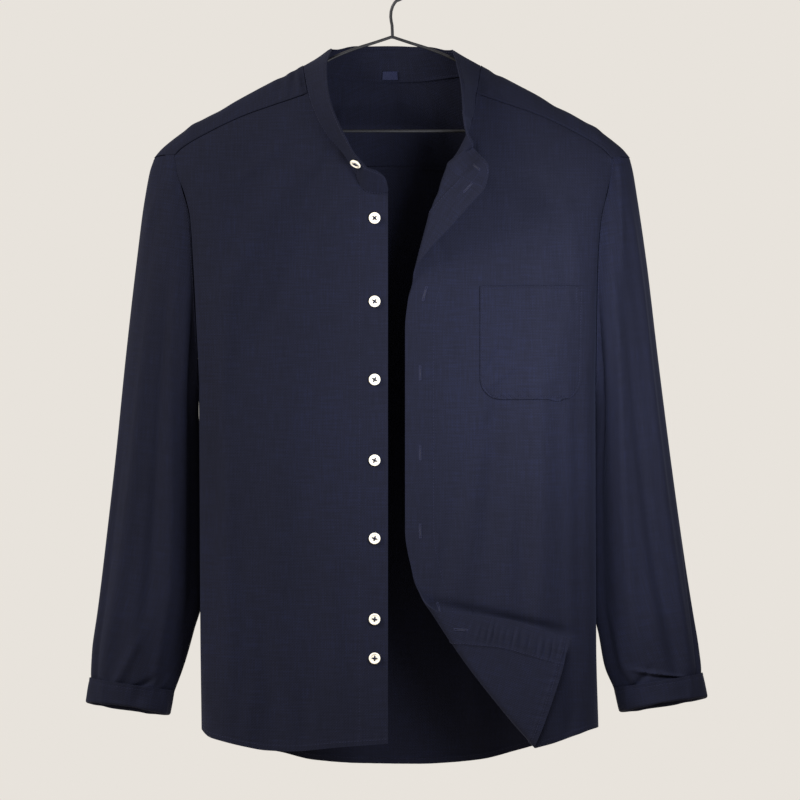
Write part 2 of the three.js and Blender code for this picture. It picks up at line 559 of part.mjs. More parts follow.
// Armhole loop of one side, from the shoulder's tip round the front to the armpit and up the back.
function armholeLoop(side) {
  const column = side === 'right' ? 0 : yokeTop.length - 1;
  const endEdge = yokeGrid.map((row) => row[column].point);
  const tip = YOKE_RIDGE_ROW;
  const front = frontGrids[side].map((row) => row[row.length - 1].point);
  const back = backGrid.map((row) => row[side === 'right' ? 0 : row.length - 1].point);
  const frontRows = FRONTS[side].rows.armhole;
  return [
    endEdge[tip], endEdge[tip - 1], endEdge[tip - 2], endEdge[0].clone().lerp(front[0], 0.5),
    ...front.slice(1, frontRows), front[frontRows].clone().lerp(back[BACK_ROWS.armhole], 0.5),
    ...back.slice(1, BACK_ROWS.armhole).reverse(), endEdge[endEdge.length - 1].clone().lerp(back[0], 0.5),
    ...endEdge.slice(tip + 1, -1).reverse(),
  ];
}

function sleeveSection(side) {
  const rows = SLEEVES[side];
  const columns = ['outerX', 'outerZ', 'innerX', 'innerZ', 'depth', 'back'];
  const at = Object.fromEntries(columns.map((key) => [key, through(rows, 'step', key)]));
  const sign = FRONTS[side].sign;
  return (step, angle) => {
    const outer = vector(sign * at.outerX(step), 0, at.outerZ(step));
    const inner = vector(sign * at.innerX(step), 0, at.innerZ(step));
    const middle = outer.clone().lerp(inner, 0.5);
    const point = middle.addScaledVector(outer.sub(inner), 0.5 * Math.cos(angle));
    point.y = at.back(step) - at.depth(step) * Math.sin(angle);
    return point;
  };
}

for (const side of ['right', 'left']) {
  const sign = FRONTS[side].sign;
  const loop = armholeLoop(side);
  const section = sleeveSection(side);
  const lastStep = SLEEVES[side].length - 1;
  const angles = loop.map((_, i) => (2 * Math.PI * i) / loop.length);
  const start = loop.map((point, i) => {
    const low = (1 - Math.cos(angles[i])) / 2;
    return point.clone().add(vector(sign * 2 * SEAM_GAP, 0, -2 * SEAM_GAP * (1 - low)));
  });
  const points = Array.from({ length: SLEEVE_ROWS + 1 }, (_, r) => {
    const step = (r / SLEEVE_ROWS) ** 0.9 * lastStep;
    const hold = Math.max(0, 1 - step / (SLEEVE_HEAD_BLEND * lastStep)) ** 2;
    return start.map((point, i) => {
      const home = section(step, angles[i]);
      return home.addScaledVector(point.clone().sub(section(0, angles[i])), hold);
    });
  });
  addCloth(`${side}_sleeve`, withNormals(points, side === 'right' ? -1 : 1, true), { ring: true });

  // The cuff's section is a U: up inside to the sleeve's end, round the fold, and up outside.
  const end = points[SLEEVE_ROWS];
  const middle = end.reduce((sum, point) => sum.add(point), vector(0, 0, 0)).divideScalar(end.length);
  const above = points[SLEEVE_ROWS - 4].reduce((sum, point) => sum.add(point), vector(0, 0, 0)).divideScalar(end.length);
  const down = middle.clone().sub(above);
  down.y = 0;
  down.normalize();
  const foldRadius = CUFF_LAYERS_APART / 2;
  const profile = [{ out: 0, down: SEAM_GAP }, { out: 0, down: CUFF_INNER_HEIGHT / 2 }];
  for (let i = 0; i <= CUFF_FOLD_STEPS; i += 1) {
    const turn = (Math.PI * i) / CUFF_FOLD_STEPS;
    profile.push({
      out: foldRadius * (1 - Math.cos(turn)), down: CUFF_INNER_HEIGHT + foldRadius * Math.sin(turn),
    });
  }
  profile.push({ out: CUFF_LAYERS_APART, down: CUFF_INNER_HEIGHT - CUFF_HEIGHT / 2 });
  profile.push({ out: CUFF_LAYERS_APART, down: CUFF_INNER_HEIGHT - CUFF_HEIGHT + foldRadius });
  const cuff = profile.map(({ out, down: along }) => end.map((point) => {
    const spread = point.clone().sub(middle).setLength(out);
    const dip = (point.y - middle.y) * CUFF_BACK_DIP * clamp(along / CUFF_INNER_HEIGHT, 0, 1);
    return point.clone().add(spread).addScaledVector(down, along + dip);
  }));
  addCloth(`${side}_cuff`, withNormals(cuff, side === 'right' ? 1 : -1, true), { ring: true });
}

// Neck seam from the right front's corner round the back to the left front's corner.
const neckSeam = [
  ...frontGrids.right[0].slice(0, frontPlaces('right').neckColumns),
  ...yokeGrid[0].slice(shoulderStations('right').length - 1, yokeTop.length - shoulderStations('left').length + 1),
  ...frontGrids.left[0].slice(0, frontPlaces('left').neckColumns).reverse(),
].map(({ point }) => point);
const seamLengths = neckSeam.reduce((all, point, i) => (
  i ? [...all, all[i - 1] + point.distanceTo(neckSeam[i - 1])] : [0]), []);
const seamTotal = seamLengths[seamLengths.length - 1];
const stance = ['x', 'y', 'z'].map((key) => through(BAND_STANCE, 'at', key));
const bandPoints = Array.from({ length: BAND_ROWS + 1 }, (_, r) => neckSeam.map((seam, i) => {
  const at = seamLengths[i] / seamTotal;
  const direction = vector(...stance.map((curve) => curve(at))).normalize();
  const toEnd = Math.min(seamLengths[i], seamTotal - seamLengths[i]);
  const rounding = Math.sqrt(1 - (1 - clamp(toEnd / BAND_END_ROUND, 0, 1)) ** 2);
  const height = BAND_HEIGHT * lerp(BAND_END_HEIGHT, 1, rounding);
  return seam.clone().addScaledVector(direction, BAND_SEAM + height * (r / BAND_ROWS));
}));
const bandGrid = withNormals(bandPoints, -1);
addCloth('collar_band', bandGrid);

// A place on the band by its share along the seam and up its height.
function onBand(at, up) {
  const along = at * seamTotal;
  const i = clamp(seamLengths.findIndex((length) => length > along) - 1, 0, neckSeam.length - 2);
  const t = (along - seamLengths[i]) / (seamLengths[i + 1] - seamLengths[i]);
  const row = up * BAND_ROWS;
  const r = clamp(Math.floor(row), 0, BAND_ROWS - 1);
  const mix = (key) => {
    const pick = (a, b) => bandGrid[r + a][i + b][key].clone();
    return pick(0, 0).lerp(pick(0, 1), t).lerp(pick(1, 0).lerp(pick(1, 1), t), row - r);
  };
  return { point: mix('point'), normal: mix('normal').normalize() };
}

// Chest pocket, on the front's own surface moved out.
{
  const straight = Array.from({ length: POCKET.plainRows + 1 }, (_, i) => (
    lerp(POCKET.top, POCKET.bottom + POCKET.corner, i / POCKET.plainRows)));
  const round = Array.from({ length: POCKET.cornerRows }, (_, i) => {
    const turn = ((i + 1) / POCKET.cornerRows) * (Math.PI / 2) * 0.93;
    return POCKET.bottom + POCKET.corner * (1 - Math.sin(turn));
  });
  const near = bodyEdge.left(POCKET.top) - SIDE_ROUND;
  const columns = [0, 0.17, 0.33, 0.5, 0.67, 0.83].map((share) => lerp(POCKET.near, near, share));
  columns.push(...roundingSteps.map((inward) => near + SIDE_ROUND - inward).filter((x) => x < POCKET.far - 1));
  columns.push(POCKET.far);
  const grid = [...straight, ...round].map((z) => {
    const low = clamp((POCKET.bottom + POCKET.corner - z) / POCKET.corner, 0, 1);
    const inward = POCKET.corner * (1 - Math.sqrt(1 - low ** 2));
    return columns.map((x) => {
      const place = clamp(x, POCKET.near + inward, POCKET.far - inward);
      const share = (x - POCKET.near) / (POCKET.far - POCKET.near);
      const mixed = lerp(place, lerp(POCKET.near + inward, POCKET.far - inward, share), 0.5);
      const sample = pointWithNormal(surfaces.front, mixed, z, 1);
      if (sample.normal.y > 0) sample.normal.negate();
      sample.point.addScaledVector(sample.normal, POCKET.lift + POCKET.wall);
      return sample;
    });
  });
  addCloth('chest_pocket', grid, { wall: POCKET.wall });
}

// Buttons are dished discs turned about their own axis, with the back face on the cloth.
function addButton(name, { point, normal }) {
  const { radius, thick, rim, dish, sides, lift } = BUTTON;
  const profile = [
    [0, 0], [radius - rim, 0], [radius, thick / 2], [radius - rim, thick], [radius * 0.62, thick - dish],
    [0, thick - dish],
  ].map(([r, y]) => new THREE.Vector2(r, y));
  const turned = new THREE.LatheGeometry(profile, sides);
  turned.deleteAttribute('normal');
  turned.deleteAttribute('uv');
  const geometry = mergeVertices(turned);
  const turn = new THREE.Quaternion().setFromUnitVectors(vector(0, 1, 0), normal);
  const place = point.clone().addScaledVector(normal, lift);
  const points = [];
  const positions = geometry.getAttribute('position');
  for (let i = 0; i < positions.count; i += 1) {
    points.push(vector(0, 0, 0).fromBufferAttribute(positions, i).applyQuaternion(turn).add(place));
  }
  const index = Array.from(geometry.index.array);
  const triangles = [];
  for (let i = 0; i < index.length; i += 3) {
    const [a, b, c] = index.slice(i, i + 3);
    if (a !== b && b !== c && a !== c) triangles.push([a, b, c]);
  }
  addMesh(name, points, triangles, COLOURS.button);
}
BUTTON_HEIGHTS.forEach((z, i) => {
  const sample = pointWithNormal(surfaces.front, -BUTTON.out, z, 1);
  if (sample.normal.y > 0) sample.normal.negate();
  addButton(`button_${i + 1}`, sample);
});
const bandPlace = onBand(COLLAR_BUTTON.at, COLLAR_BUTTON.up);
bandPlace.point.addScaledVector(bandPlace.normal, COLLAR_BUTTON.lift);
addButton('collar_button', bandPlace);

// Blank woven label inside the back of the band.
{
  const half = LABEL.width / 2 / seamTotal;
  const rows = [LABEL.up, LABEL.up + LABEL.height].map((up) => up / BAND_HEIGHT);
  const grid = rows.map((up) => [-1, 0, 1].map((way) => {
    const sample = onBand(0.5 + way * half, up);
    sample.normal.negate();
    sample.point.addScaledVector(sample.normal, WALL + LABEL.wall + 2 * SEAM_GAP);
    return sample;
  }));
  addCloth('neck_label', grid, { wall: LABEL.wall, look: COLOURS.label });
}

// Hanger: hook and stem in one wire, arms and crossbar in another, twisted together at the neck.
function wireSolid(points) {
  const path = new THREE.CatmullRomCurve3(points, false, 'centripetal');
  const circle = new THREE.Shape();
  circle.absarc(0, 0, WIRE.radius, 0, 2 * Math.PI);
  const tube = new THREE.ExtrudeGeometry(circle, {
    extrudePath: path, steps: points.length * 2, curveSegments: WIRE.sides / 2,
  });
  tube.deleteAttribute('normal');
  tube.deleteAttribute('uv');
  const merged = mergeVertices(tube, 1e-3);
  const triVerts = Uint32Array.from(merged.index.array);
  const vertProperties = Float32Array.from(merged.getAttribute('position').array);
  return new wasm.Manifold(new wasm.Mesh({ numProp: 3, vertProperties, triVerts }));
}
{
  const under = (out) => shoulderLine(out) - (WALL + SEAM_GAP + WIRE.radius + 0.6) / Math.cos(Math.PI / 6);
  const armZ = through([
    { out: 0, z: HANGER_NECK_Z }, { out: 18, z: -81 }, { out: 42, z: -88.7 }, { out: 65, z: -98.5 },
    { out: 92, z: under(92) - 5 }, { out: 110, z: under(110) - 1 },
  ], 'out', 'z');
  const outs = [8, 20, 36, 52, 68, 84, 100, 120, 140, 160, 180, 196];
  const arm = (sign) => outs.map((out) => vector(sign * out, 0, out < 100 ? armZ(out) : under(out)));
  const bend = (sign) => [
    vector(sign * (HANGER_HALF - 1.5), 0, CROSSBAR_Z + 5.5), vector(sign * HANGER_HALF, 0, CROSSBAR_Z + 2.6),
    vector(sign * (HANGER_HALF - 3), 0, CROSSBAR_Z + 0.3),
  ];
  const bar = [-190, -100, 0, 100, 190].map((x) => vector(x, 0, CROSSBAR_Z));
  const top = vector(0, 0, HANGER_NECK_Z);
  const frame = wireSolid([top, ...arm(-1), ...bend(-1), ...bar, ...bend(1).reverse(), ...arm(1).reverse(), top]);
  const centre = vector(0, 0, WIRE.radius - HOOK_RADIUS);
  const hook = [vector(0.5, 0, HANGER_NECK_Z - 2), vector(0, 0, HANGER_NECK_Z + 12), vector(-1.5, 0, -55)];
  const turns = 13;
  for (let i = 0; i <= turns; i += 1) {
    const angle = lerp(-Math.PI / 2 + 0.25, HOOK_END_ANGLE, i / turns);
    hook.push(vector(HOOK_RADIUS * Math.cos(angle), 0, centre.z + HOOK_RADIUS * Math.sin(angle)));
  }
  const solid = wasm.Manifold.union([frame, wireSolid(hook)]).getMesh();
  const points = [];
  for (let i = 0; i < solid.vertProperties.length; i += solid.numProp) {
    points.push(vector(...solid.vertProperties.slice(i, i + 3)));
  }
  const triangles = [];
  for (let i = 0; i < solid.triVerts.length; i += 3) triangles.push([...solid.triVerts.slice(i, i + 3)]);
  addMesh('hanger', points, triangles, COLOURS.wire);
}

export default shirt;
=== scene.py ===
"""Mandarin collar shirt on a wire hanger: its cloth, sewing and finishes, over the fixed frame.

Sizes are in millimetres, turned to metres where a mesh is written. The shirt faces -Y, and +X is the wearer's
left.
"""
import logging
import math
from dataclasses import dataclass, field
from enum import Enum
from typing import Callable

import bpy
import numpy as np
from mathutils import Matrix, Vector


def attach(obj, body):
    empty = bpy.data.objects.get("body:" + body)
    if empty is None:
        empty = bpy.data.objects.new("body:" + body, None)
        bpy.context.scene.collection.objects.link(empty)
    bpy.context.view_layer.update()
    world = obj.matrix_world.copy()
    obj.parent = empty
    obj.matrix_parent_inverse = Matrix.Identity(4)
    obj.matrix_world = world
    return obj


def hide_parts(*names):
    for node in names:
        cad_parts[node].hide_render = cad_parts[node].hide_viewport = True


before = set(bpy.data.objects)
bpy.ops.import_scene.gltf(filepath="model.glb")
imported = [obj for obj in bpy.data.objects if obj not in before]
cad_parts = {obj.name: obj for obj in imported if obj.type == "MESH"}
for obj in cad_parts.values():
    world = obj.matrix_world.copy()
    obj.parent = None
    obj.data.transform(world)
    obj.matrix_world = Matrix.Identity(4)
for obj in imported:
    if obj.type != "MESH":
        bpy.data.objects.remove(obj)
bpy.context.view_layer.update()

Array = np.ndarray
MM = 0.001
# Every crease is this many times as deep as its table says
FULLNESS = 1.6
# Half the distance between two pieces at a seam
HALF_GAP = 0.15
# How far the fronts and the back run on under the yoke, and how far they are tucked in there
SEAM_LAP = 4.0
SEAM_TUCK = 1.15
# Place of the buttons' middles from the shirt's middle line
BUTTON_OUT = 18.4
# Size of the label, and heights of its lower and upper edge on the band
LABEL_WIDE = 17.0
LABEL_LOW = 2.5
LABEL_HIGH = 10.5
logging.basicConfig(level=logging.INFO, format="%(message)s")
log = logging.getLogger("shirt")


class Side(Enum):
    """The wearer's right or left, with the sign of its X."""

    RIGHT = -1
    LEFT = 1

    @property
    def word(self) -> str:
        """Lower-case name, as node names have it."""
        return self.name.lower()


class Curve:
    """Smooth curve through a table's rows that never overshoots them and is level beyond its ends."""

    def __init__(self, rows: list[tuple[float, float]]) -> None:
        """Set the curve.

        Args:
            rows: place and value, with places ascending.
        """
        self.x, self.y = np.array(rows, float).T
        slope = np.diff(self.y) / np.diff(self.x)
        before, after = slope[:-1], slope[1:]
        same = before * after > 0
        total = np.where(same, before + after, 1.0)
        inner = np.where(same, 2 * before * after / total, 0.0)
        self.tangent = np.concatenate([slope[:1], inner, slope[-1:]])

    def __call__(self, value: Array) -> Array:
        """Value of the curve at each place.

        Args:
            value: places to read.

        Returns:
            Values of the same shape.
        """
        place = np.clip(value, self.x[0], self.x[-1])
        i = np.clip(np.searchsorted(self.x, place) - 1, 0, len(self.x) - 2)
        width = self.x[i + 1] - self.x[i]
        t = (place - self.x[i]) / width
        t2, t3 = t * t, t * t * t
        start = (2 * t3 - 3 * t2 + 1) * self.y[i] + (t3 - 2 * t2 + t) * width * self.tangent[i]
        return start + (3 * t2 - 2 * t3) * self.y[i + 1] + (t3 - t2) * width * self.tangent[i + 1]


def lerp(low: Array, high: Array, share: Array) -> Array:
    """Value that is share of the way from low to high."""
    return low + (high - low) * share


def unit(vectors: Array) -> Array:
    """Vectors of length one."""
    return vectors / np.maximum(np.linalg.norm(vectors, axis=-1, keepdims=True), 1e-9)


def stations(length: float, step: float, fine: list[tuple[float, float]]) -> Array:
    """Shares from 0 to 1 along a length, closer together in some stretches.

    Args:
        length: whole length in millimetres.
        step: usual spacing.
        fine: stretches, as first and last millimetre, that get a spacing of about one millimetre.

    Returns:
        Ascending shares with both ends.
    """
    places = [0.0]
    while places[-1] < length - 0.3 * step:
        here = places[-1]
        dense = any(low - 0.6 <= here < high for low, high in fine)
        nexts = [low for low, _ in fine if low > here + 1e-6]
        stop = min(nexts + [length])
        places.append(min(here + (1.0 if dense else step), stop))
    places[-1] = length
    return np.array(places) / length


@dataclass(frozen=True)
class Crease:
    """One soft trough (depth below 0) or ridge, laid on a piece's own cut."""

    u: float
    v: float
    length: float
    width: float
    depth: float
    angle: float = 90.0
    bend: float = 0.0

    def relief(self, u: Array, v: Array) -> Array:
        """How far the cloth stands out here.

        Args:
            u: place across the cut.
            v: place up the cut.

        Returns:
            Millimetres out of the cloth's right side.
        """
        turn = math.radians(self.angle)
        along = (u - self.u) * math.cos(turn) + (v - self.v) * math.sin(turn)
        across = (v - self.v) * math.cos(turn) - (u - self.u) * math.sin(turn)
        across = across - self.bend * along * along / self.length
        return self.depth * np.exp(-(across / self.width) ** 2 - (along / (0.5 * self.length)) ** 4)


def creased(creases: list[Crease], u: Array, v: Array) -> Array:
    """Sum of the creases at each place of a cut."""
    return FULLNESS * sum((crease.relief(u, v) for crease in creases), np.zeros_like(u))


def slack(u: Array, v: Array, seed: float) -> Array:
    """Uneven looseness that hanging cloth has between its creases, about half a millimetre."""
    wide = np.sin(u / 31 + seed + 1.3 * np.sin(v / 83 + seed))
    wide = wide * np.sin(v / 97 + 2.1 * seed + 0.8 * np.sin(u / 47))
    small = np.sin(u / 11 + 3 * seed + 1.1 * np.sin(v / 37))
    small = small * np.sin(v / 29 + seed + 1.7 * np.sin(u / 19 + seed))
    return 0.62 * wide + 0.16 * small


def pucker(away: Array, along: Array, seed: float, height: float = 0.3, reach: float = 4.0) -> Array:
    """Small waves that a seam's thread draws up in the cloth beside it.

    Args:
        away: distance from the seam.
        along: distance along the seam.
        seed: start of the pattern.
        height: size of the waves at the seam.
        reach: distance over which they fade.

    Returns:
        Relief in millimetres.
    """
    wave = np.sin(along * 0.62 + 1.9 * np.sin(along / 17 + seed) + seed)
    wave = wave + 0.5 * np.sin(along * 0.29 + 2 * seed)
    strength = 0.55 + 0.45 * np.sin(along / 41 + 3 * seed)
    return height * wave * strength * np.exp(-np.abs(away) / reach)


def sewn_edge(away: Array, width: float, raised: float = 0.35, groove: float = 0.3) -> Array:
    """Step and stitch groove of an edge that is folded in and sewn down.

    Args:
        away: distance from the edge.
        width: width of the fold, with its stitches just inside.
        raised: extra thickness of the doubled cloth.
        groove: depth of the line of stitches.

    Returns:
        Relief in millimetres.
    """
    step = raised / (1 + np.exp((away - width) / 0.7))
    line = groove * np.exp(-((away - width + 1.6) / 1.0) ** 2)
    return step - line


def doubled(away: Array, width: float, extra: float) -> Array:
    """Extra thickness behind a fold.

    Args:
        away: distance from the edge.
        width: width of the fold.
        extra: thickness of the layer that is folded in.

    Returns:
        Millimetres of wall.
    """
    return extra / (1 + np.exp((away - width) / 0.6))


@dataclass(frozen=True)
class Roll:
    """A line past which the left front rolls out and turns back."""

    start: tuple[float, float]
    end: tuple[float, float]
    bow: float
    radius: float
    degrees: float

    def turn(self, points: Array) -> Array:
        """Places of the cloth after the roll.

        Args:
            points: places before it, with the last axis X, Y, Z.

        Returns:
            Places of the same shape.
        """
        start, end = np.array(self.start), np.array(self.end)
        length = float(np.linalg.norm(end - start))
        along = (end - start) / length
        away = np.array([along[1], -along[0]])
        away = -away if away[0] > 0 else away
        place = points[..., [0, 2]] - start
        down = place @ along
        line = self.bow * np.sin(np.pi * np.clip(down / length, 0, 1)) - self.radius
        past = place @ away - line
        rolled = np.clip(past / self.radius, 0, math.radians(self.degrees))
        straight = past - rolled * self.radius
        flat = line + self.radius * np.sin(rolled) + straight * np.cos(rolled)
        rise = self.radius * (1 - np.cos(rolled)) + straight * np.sin(rolled)
        moved = start + down[..., None] * along + flat[..., None] * away
        out = np.stack([moved[..., 0], points[..., 1] - rise, moved[..., 1]], axis=-1)
        return np.where((past > 0)[..., None], out, points)


class BodyForm:
    """The hanging body's form: shoulders on the hanger, flat front and back, rounded sides."""

    depth = 46.0
    depth_drop = 140.0
    ridge_radius = 46.0 ** 2 / 140.0
    side_round = 34.0
    armpit_z = -442.0
    yoke_end_z = -203.0
    neck_corner = 88.5
    guide_out = 64.0
    shoulder_line = Curve([
        (0, -62), (45, -79), (92, -105.2), (125, -122.8), (160, -141.2), (190, -157.8), (218, -175.3),
        (235, -188), (244, -196), (251, -204.5),
    ])
    edge_out = {
        Side.RIGHT: Curve([
            (-803, 200.8), (-714, 202), (-442, 203.7), (-353, 206.9), (-311, 209), (-267, 212),
            (-243, 217.4),
            (-218, 225.8), (-203, 228),
        ]),
        Side.LEFT: Curve([
            (-803, 217.6), (-714, 215.3), (-442, 214.4), (-353, 215), (-311, 216), (-267, 219.5),
            (-243, 225),
            (-218, 230), (-203, 231),
        ]),
    }
    edge_depth = Curve([
        (-442, 0), (-420, 9), (-374, 20), (-311, 27), (-267, 29), (-225, 27), (-203, 23.6), (-190, 60),
    ])
    yoke_front_seam = Curve([
        (88.5, -135.5), (104, -141), (122, -147), (156, -159), (192, -176), (220, -192.4), (231, -203),
    ])
    yoke_back_seam = Curve([(0, -214), (120, -216), (222, -222)])
    lapel = Roll((75.4, -173.3), (21.8, -330.8), 5, 4, 150)
    flap = Roll((27.3, -655.2), (150.2, -821.1), 6, 5, 177)
    folds = [
        (137, -520, 150, 26, 4.5, 0.05), (176, -560, 190, 15, -4, -0.04), (96, -600, 120, 22, -2.5, 0.08),
        (-150, -330, 110, 30, 3, -0.35), (-120, -640, 150, 30, 2.5, 0.05),
    ]

    def edge(self, x: Array, z: Array) -> Array:
        """Distance out of the armhole line or side on the side where x lies."""
        return np.where(x < 0, self.edge_out[Side.RIGHT](z), self.edge_out[Side.LEFT](z))

    def depth_at(self, x: Array, z: Array) -> Array:
        """Distance of the body's surface from the middle plane.

        Args:
            x: place across, seen from the front.
            z: height.

        Returns:
            Distance for the front and the back alike.
        """
        drop = np.clip((self.shoulder_line(np.abs(x)) - z) / self.depth_drop, 0, 1)
        full = self.depth * np.sqrt(1 - (1 - drop) ** 2)
        inside = np.clip((self.edge(x, z) - np.abs(x)) / self.side_round, 0, 1)
        rounding = np.sqrt(1 - (1 - inside) ** 2)
        edge = np.minimum(self.edge_depth(z), full)
        relief = np.zeros_like(full)
        for fold_x, fold_z, tall, wide, out, lean in self.folds:
            across = (x - fold_x - lean * (z - fold_z)) / wide
            relief = relief + out * np.exp(-((z - fold_z) / tall) ** 2 - across ** 2)
        return edge + (full - edge + relief * drop * inside) * rounding

    def front(self, x: Array, z: Array) -> Array:
        """Points of the front half."""
        return np.stack([x, -self.depth_at(x, z), z], axis=-1)

    def back(self, x: Array, z: Array) -> Array:
        """Points of the back half."""
        return np.stack([x, self.depth_at(x, z), z], axis=-1)

    def turned(self, x: Array, z: Array) -> Array:
        """Points of the left front with its lapel and its hem corner rolled out."""
        return self.flap.turn(self.lapel.turn(self.front(x, z)))

    def over_shoulder(self, x: Array, over: Array) -> Array:
        """Points by distance over the shoulder line: positive down the front, negative down the back."""
        over = np.where(np.abs(over) < 0.3, np.where(over < 0, -0.3, 0.3), over)
        z = self.shoulder_line(np.abs(x)) - np.hypot(over, self.ridge_radius) + self.ridge_radius
        return np.stack([x, -np.sign(over) * self.depth_at(x, z), z], axis=-1)

    def distance_over(self, out: Array, z: Array) -> Array:
        """Distance over the shoulder line of a height at a distance out."""
        return np.sqrt((self.shoulder_line(out) - z + self.ridge_radius) ** 2 - self.ridge_radius ** 2)

    def side_steps(self, count: int) -> Array:
        """Distances in from the side, closer together at the edge, from the flat part outwards."""
        turn = (np.pi / 2) * (1 - np.arange(count + 1) / count)
        return self.side_round * (1 - np.cos(turn))


FORM = BodyForm()


def hex_colour(code: str, alpha: float = 1.0) -> tuple[float, float, float, float]:
    """Linear colour of an sRGB hex value.

    Args:
        code: six hex digits after a hash.
        alpha: opacity.

    Returns:
        Linear red, green, blue and alpha.
    """
    parts = [int(code[i:i + 2], 16) / 255 for i in (1, 3, 5)]
    linear = [p / 12.92 if p <= 0.04045 else ((p + 0.055) / 1.055) ** 2.4 for p in parts]
    return (*linear, alpha)


def add_node(tree: bpy.types.NodeTree, kind: str, links: dict[str, object] | None = None,
             **settings: object) -> bpy.types.Node:
    """Add one node with its settings and inputs.

    Args:
        tree: node tree that gets it.
        kind: Blender's name of the node's type.
        links: input name or index to an output socket or a plain value.
        settings: attributes of the node.

    Returns:
        The new node.
    """
    node = tree.nodes.new(kind)
    for key, value in settings.items():
        setattr(node, key, value)
    for key, value in (links or {}).items():
        if isinstance(value, bpy.types.NodeSocket):
            tree.links.new(value, node.inputs[key])
        else:
            node.inputs[key].default_value = value
    return node


def new_material(name: str, colour: str) -> tuple[bpy.types.Material, bpy.types.NodeTree, bpy.types.Node]:
    """Material with an empty tree but for its shader and output.

    Args:
        name: the material's name.
        colour: sRGB hex shown in the viewport.

    Returns:
        The material, its node tree and its shader.
    """
    material = bpy.data.materials.new(name)
    material.use_nodes = True
    material.diffuse_color = hex_colour(colour)
    tree = material.node_tree
    tree.nodes.clear()
    shader = add_node(tree, "ShaderNodeBsdfPrincipled")
    add_node(tree, "ShaderNodeOutputMaterial", {"Surface": shader.outputs["BSDF"]})
    return material, tree, shader


@dataclass(frozen=True)
class CottonLinenCloth:
    """Piece-dyed cotton and linen, plain-woven from slubbed yarn: matt, with fine bars where a yarn thickens.

    The yarns are about 0.45 mm apart. They are drawn 1.5 mm apart, so that the render can show them.
    """

    name: str = "navy_cotton_linen"
    base: str = "#0e0f19"
    light_yarn: str = "#101220"
    dark_yarn: str = "#0c0d16"
    yarn_mm: float = 1.5
    slub_mm: tuple[float, float] = (1.6, 26.0)
    roughness: float = 0.88
    sheen: float = 0.03
    sheen_colour: str = "#8d98c8"
    bump_mm: float = 0.14

    def build(self) -> bpy.types.Material:
        """Make the material.

        Returns:
            Cloth whose yarns run along the cut.
        """
        material, tree, shader = new_material(self.name, self.base)
        cut = add_node(tree, "ShaderNodeUVMap", uv_map="Cut").outputs["UV"]
        place = add_node(tree, "ShaderNodeSeparateXYZ", {"Vector": cut})
        waves = []
        for axis in ("X", "Y"):
            turns = add_node(tree, "ShaderNodeMath", {0: place.outputs[axis], 1: math.pi / (self.yarn_mm * MM)},
                             operation="MULTIPLY")
            waves.append(add_node(tree, "ShaderNodeMath", {0: turns.outputs[0]}, operation="SINE"))
        weave = add_node(tree, "ShaderNodeMath", {0: waves[0].outputs[0], 1: waves[1].outputs[0]},
                         operation="MULTIPLY")
        slubs = []
        for across, along in (self.slub_mm, self.slub_mm[::-1]):
            scaled = add_node(tree, "ShaderNodeMapping", {
                "Vector": cut, "Scale": (1 / (across * MM), 1 / (along * MM), 1), "Location": (across, along, 0),
            })
            slubs.append(add_node(tree, "ShaderNodeTexNoise", {
                "Vector": scaled.outputs[0], "Scale": 1.0, "Detail": 2.0, "Roughness": 0.55,
            }, noise_dimensions="2D").outputs["Fac"])
        yarns = add_node(tree, "ShaderNodeMath", {0: slubs[0], 1: slubs[1]}, operation="ADD")
        cloud_scale = add_node(tree, "ShaderNodeMapping", {"Vector": cut, "Scale": (9, 6, 1)})
        cloud = add_node(tree, "ShaderNodeTexNoise", {
            "Vector": cloud_scale.outputs[0], "Scale": 1.0, "Detail": 3.0, "Roughness": 0.5,
        }, noise_dimensions="2D")
        tone = add_node(tree, "ShaderNodeMath", {0: yarns.outputs[0], 1: 0.5, 2: 0.0}, operation="MULTIPLY_ADD")
        clouded = add_node(tree, "ShaderNodeMath", {0: cloud.outputs["Fac"], 1: 0.35, 2: tone.outputs[0]},
                           operation="MULTIPLY_ADD")
        woven = add_node(tree, "ShaderNodeMath", {0: weave.outputs[0], 1: 0.07, 2: clouded.outputs[0]},
                         operation="MULTIPLY_ADD")
        ramp = add_node(tree, "ShaderNodeValToRGB", {"Fac": woven.outputs[0]})
        stops = ramp.color_ramp.elements
        stops[0].position, stops[0].color = 0.42, hex_colour(self.dark_yarn)
        stops[1].position, stops[1].color = 0.95, hex_colour(self.light_yarn)
        middle = stops.new(0.67)
        middle.color = hex_colour(self.base)
        height = add_node(tree, "ShaderNodeMath", {0: yarns.outputs[0], 1: 1.4, 2: weave.outputs[0]},
                          operation="MULTIPLY_ADD")
        bump = add_node(tree, "ShaderNodeBump", {
            "Height": height.outputs[0], "Strength": 0.55, "Distance": self.bump_mm * MM,
        })
        tree.links.new(ramp.outputs["Color"], shader.inputs["Base Color"])
        tree.links.new(bump.outputs["Normal"], shader.inputs["Normal"])
        shader.inputs["Roughness"].default_value = self.roughness
        shader.inputs["Specular IOR Level"].default_value = 0.05
        shader.inputs["Sheen Weight"].default_value = self.sheen
        shader.inputs["Sheen Roughness"].default_value = 0.45
        shader.inputs["Sheen Tint"].default_value = hex_colour(self.sheen_colour)
        return material


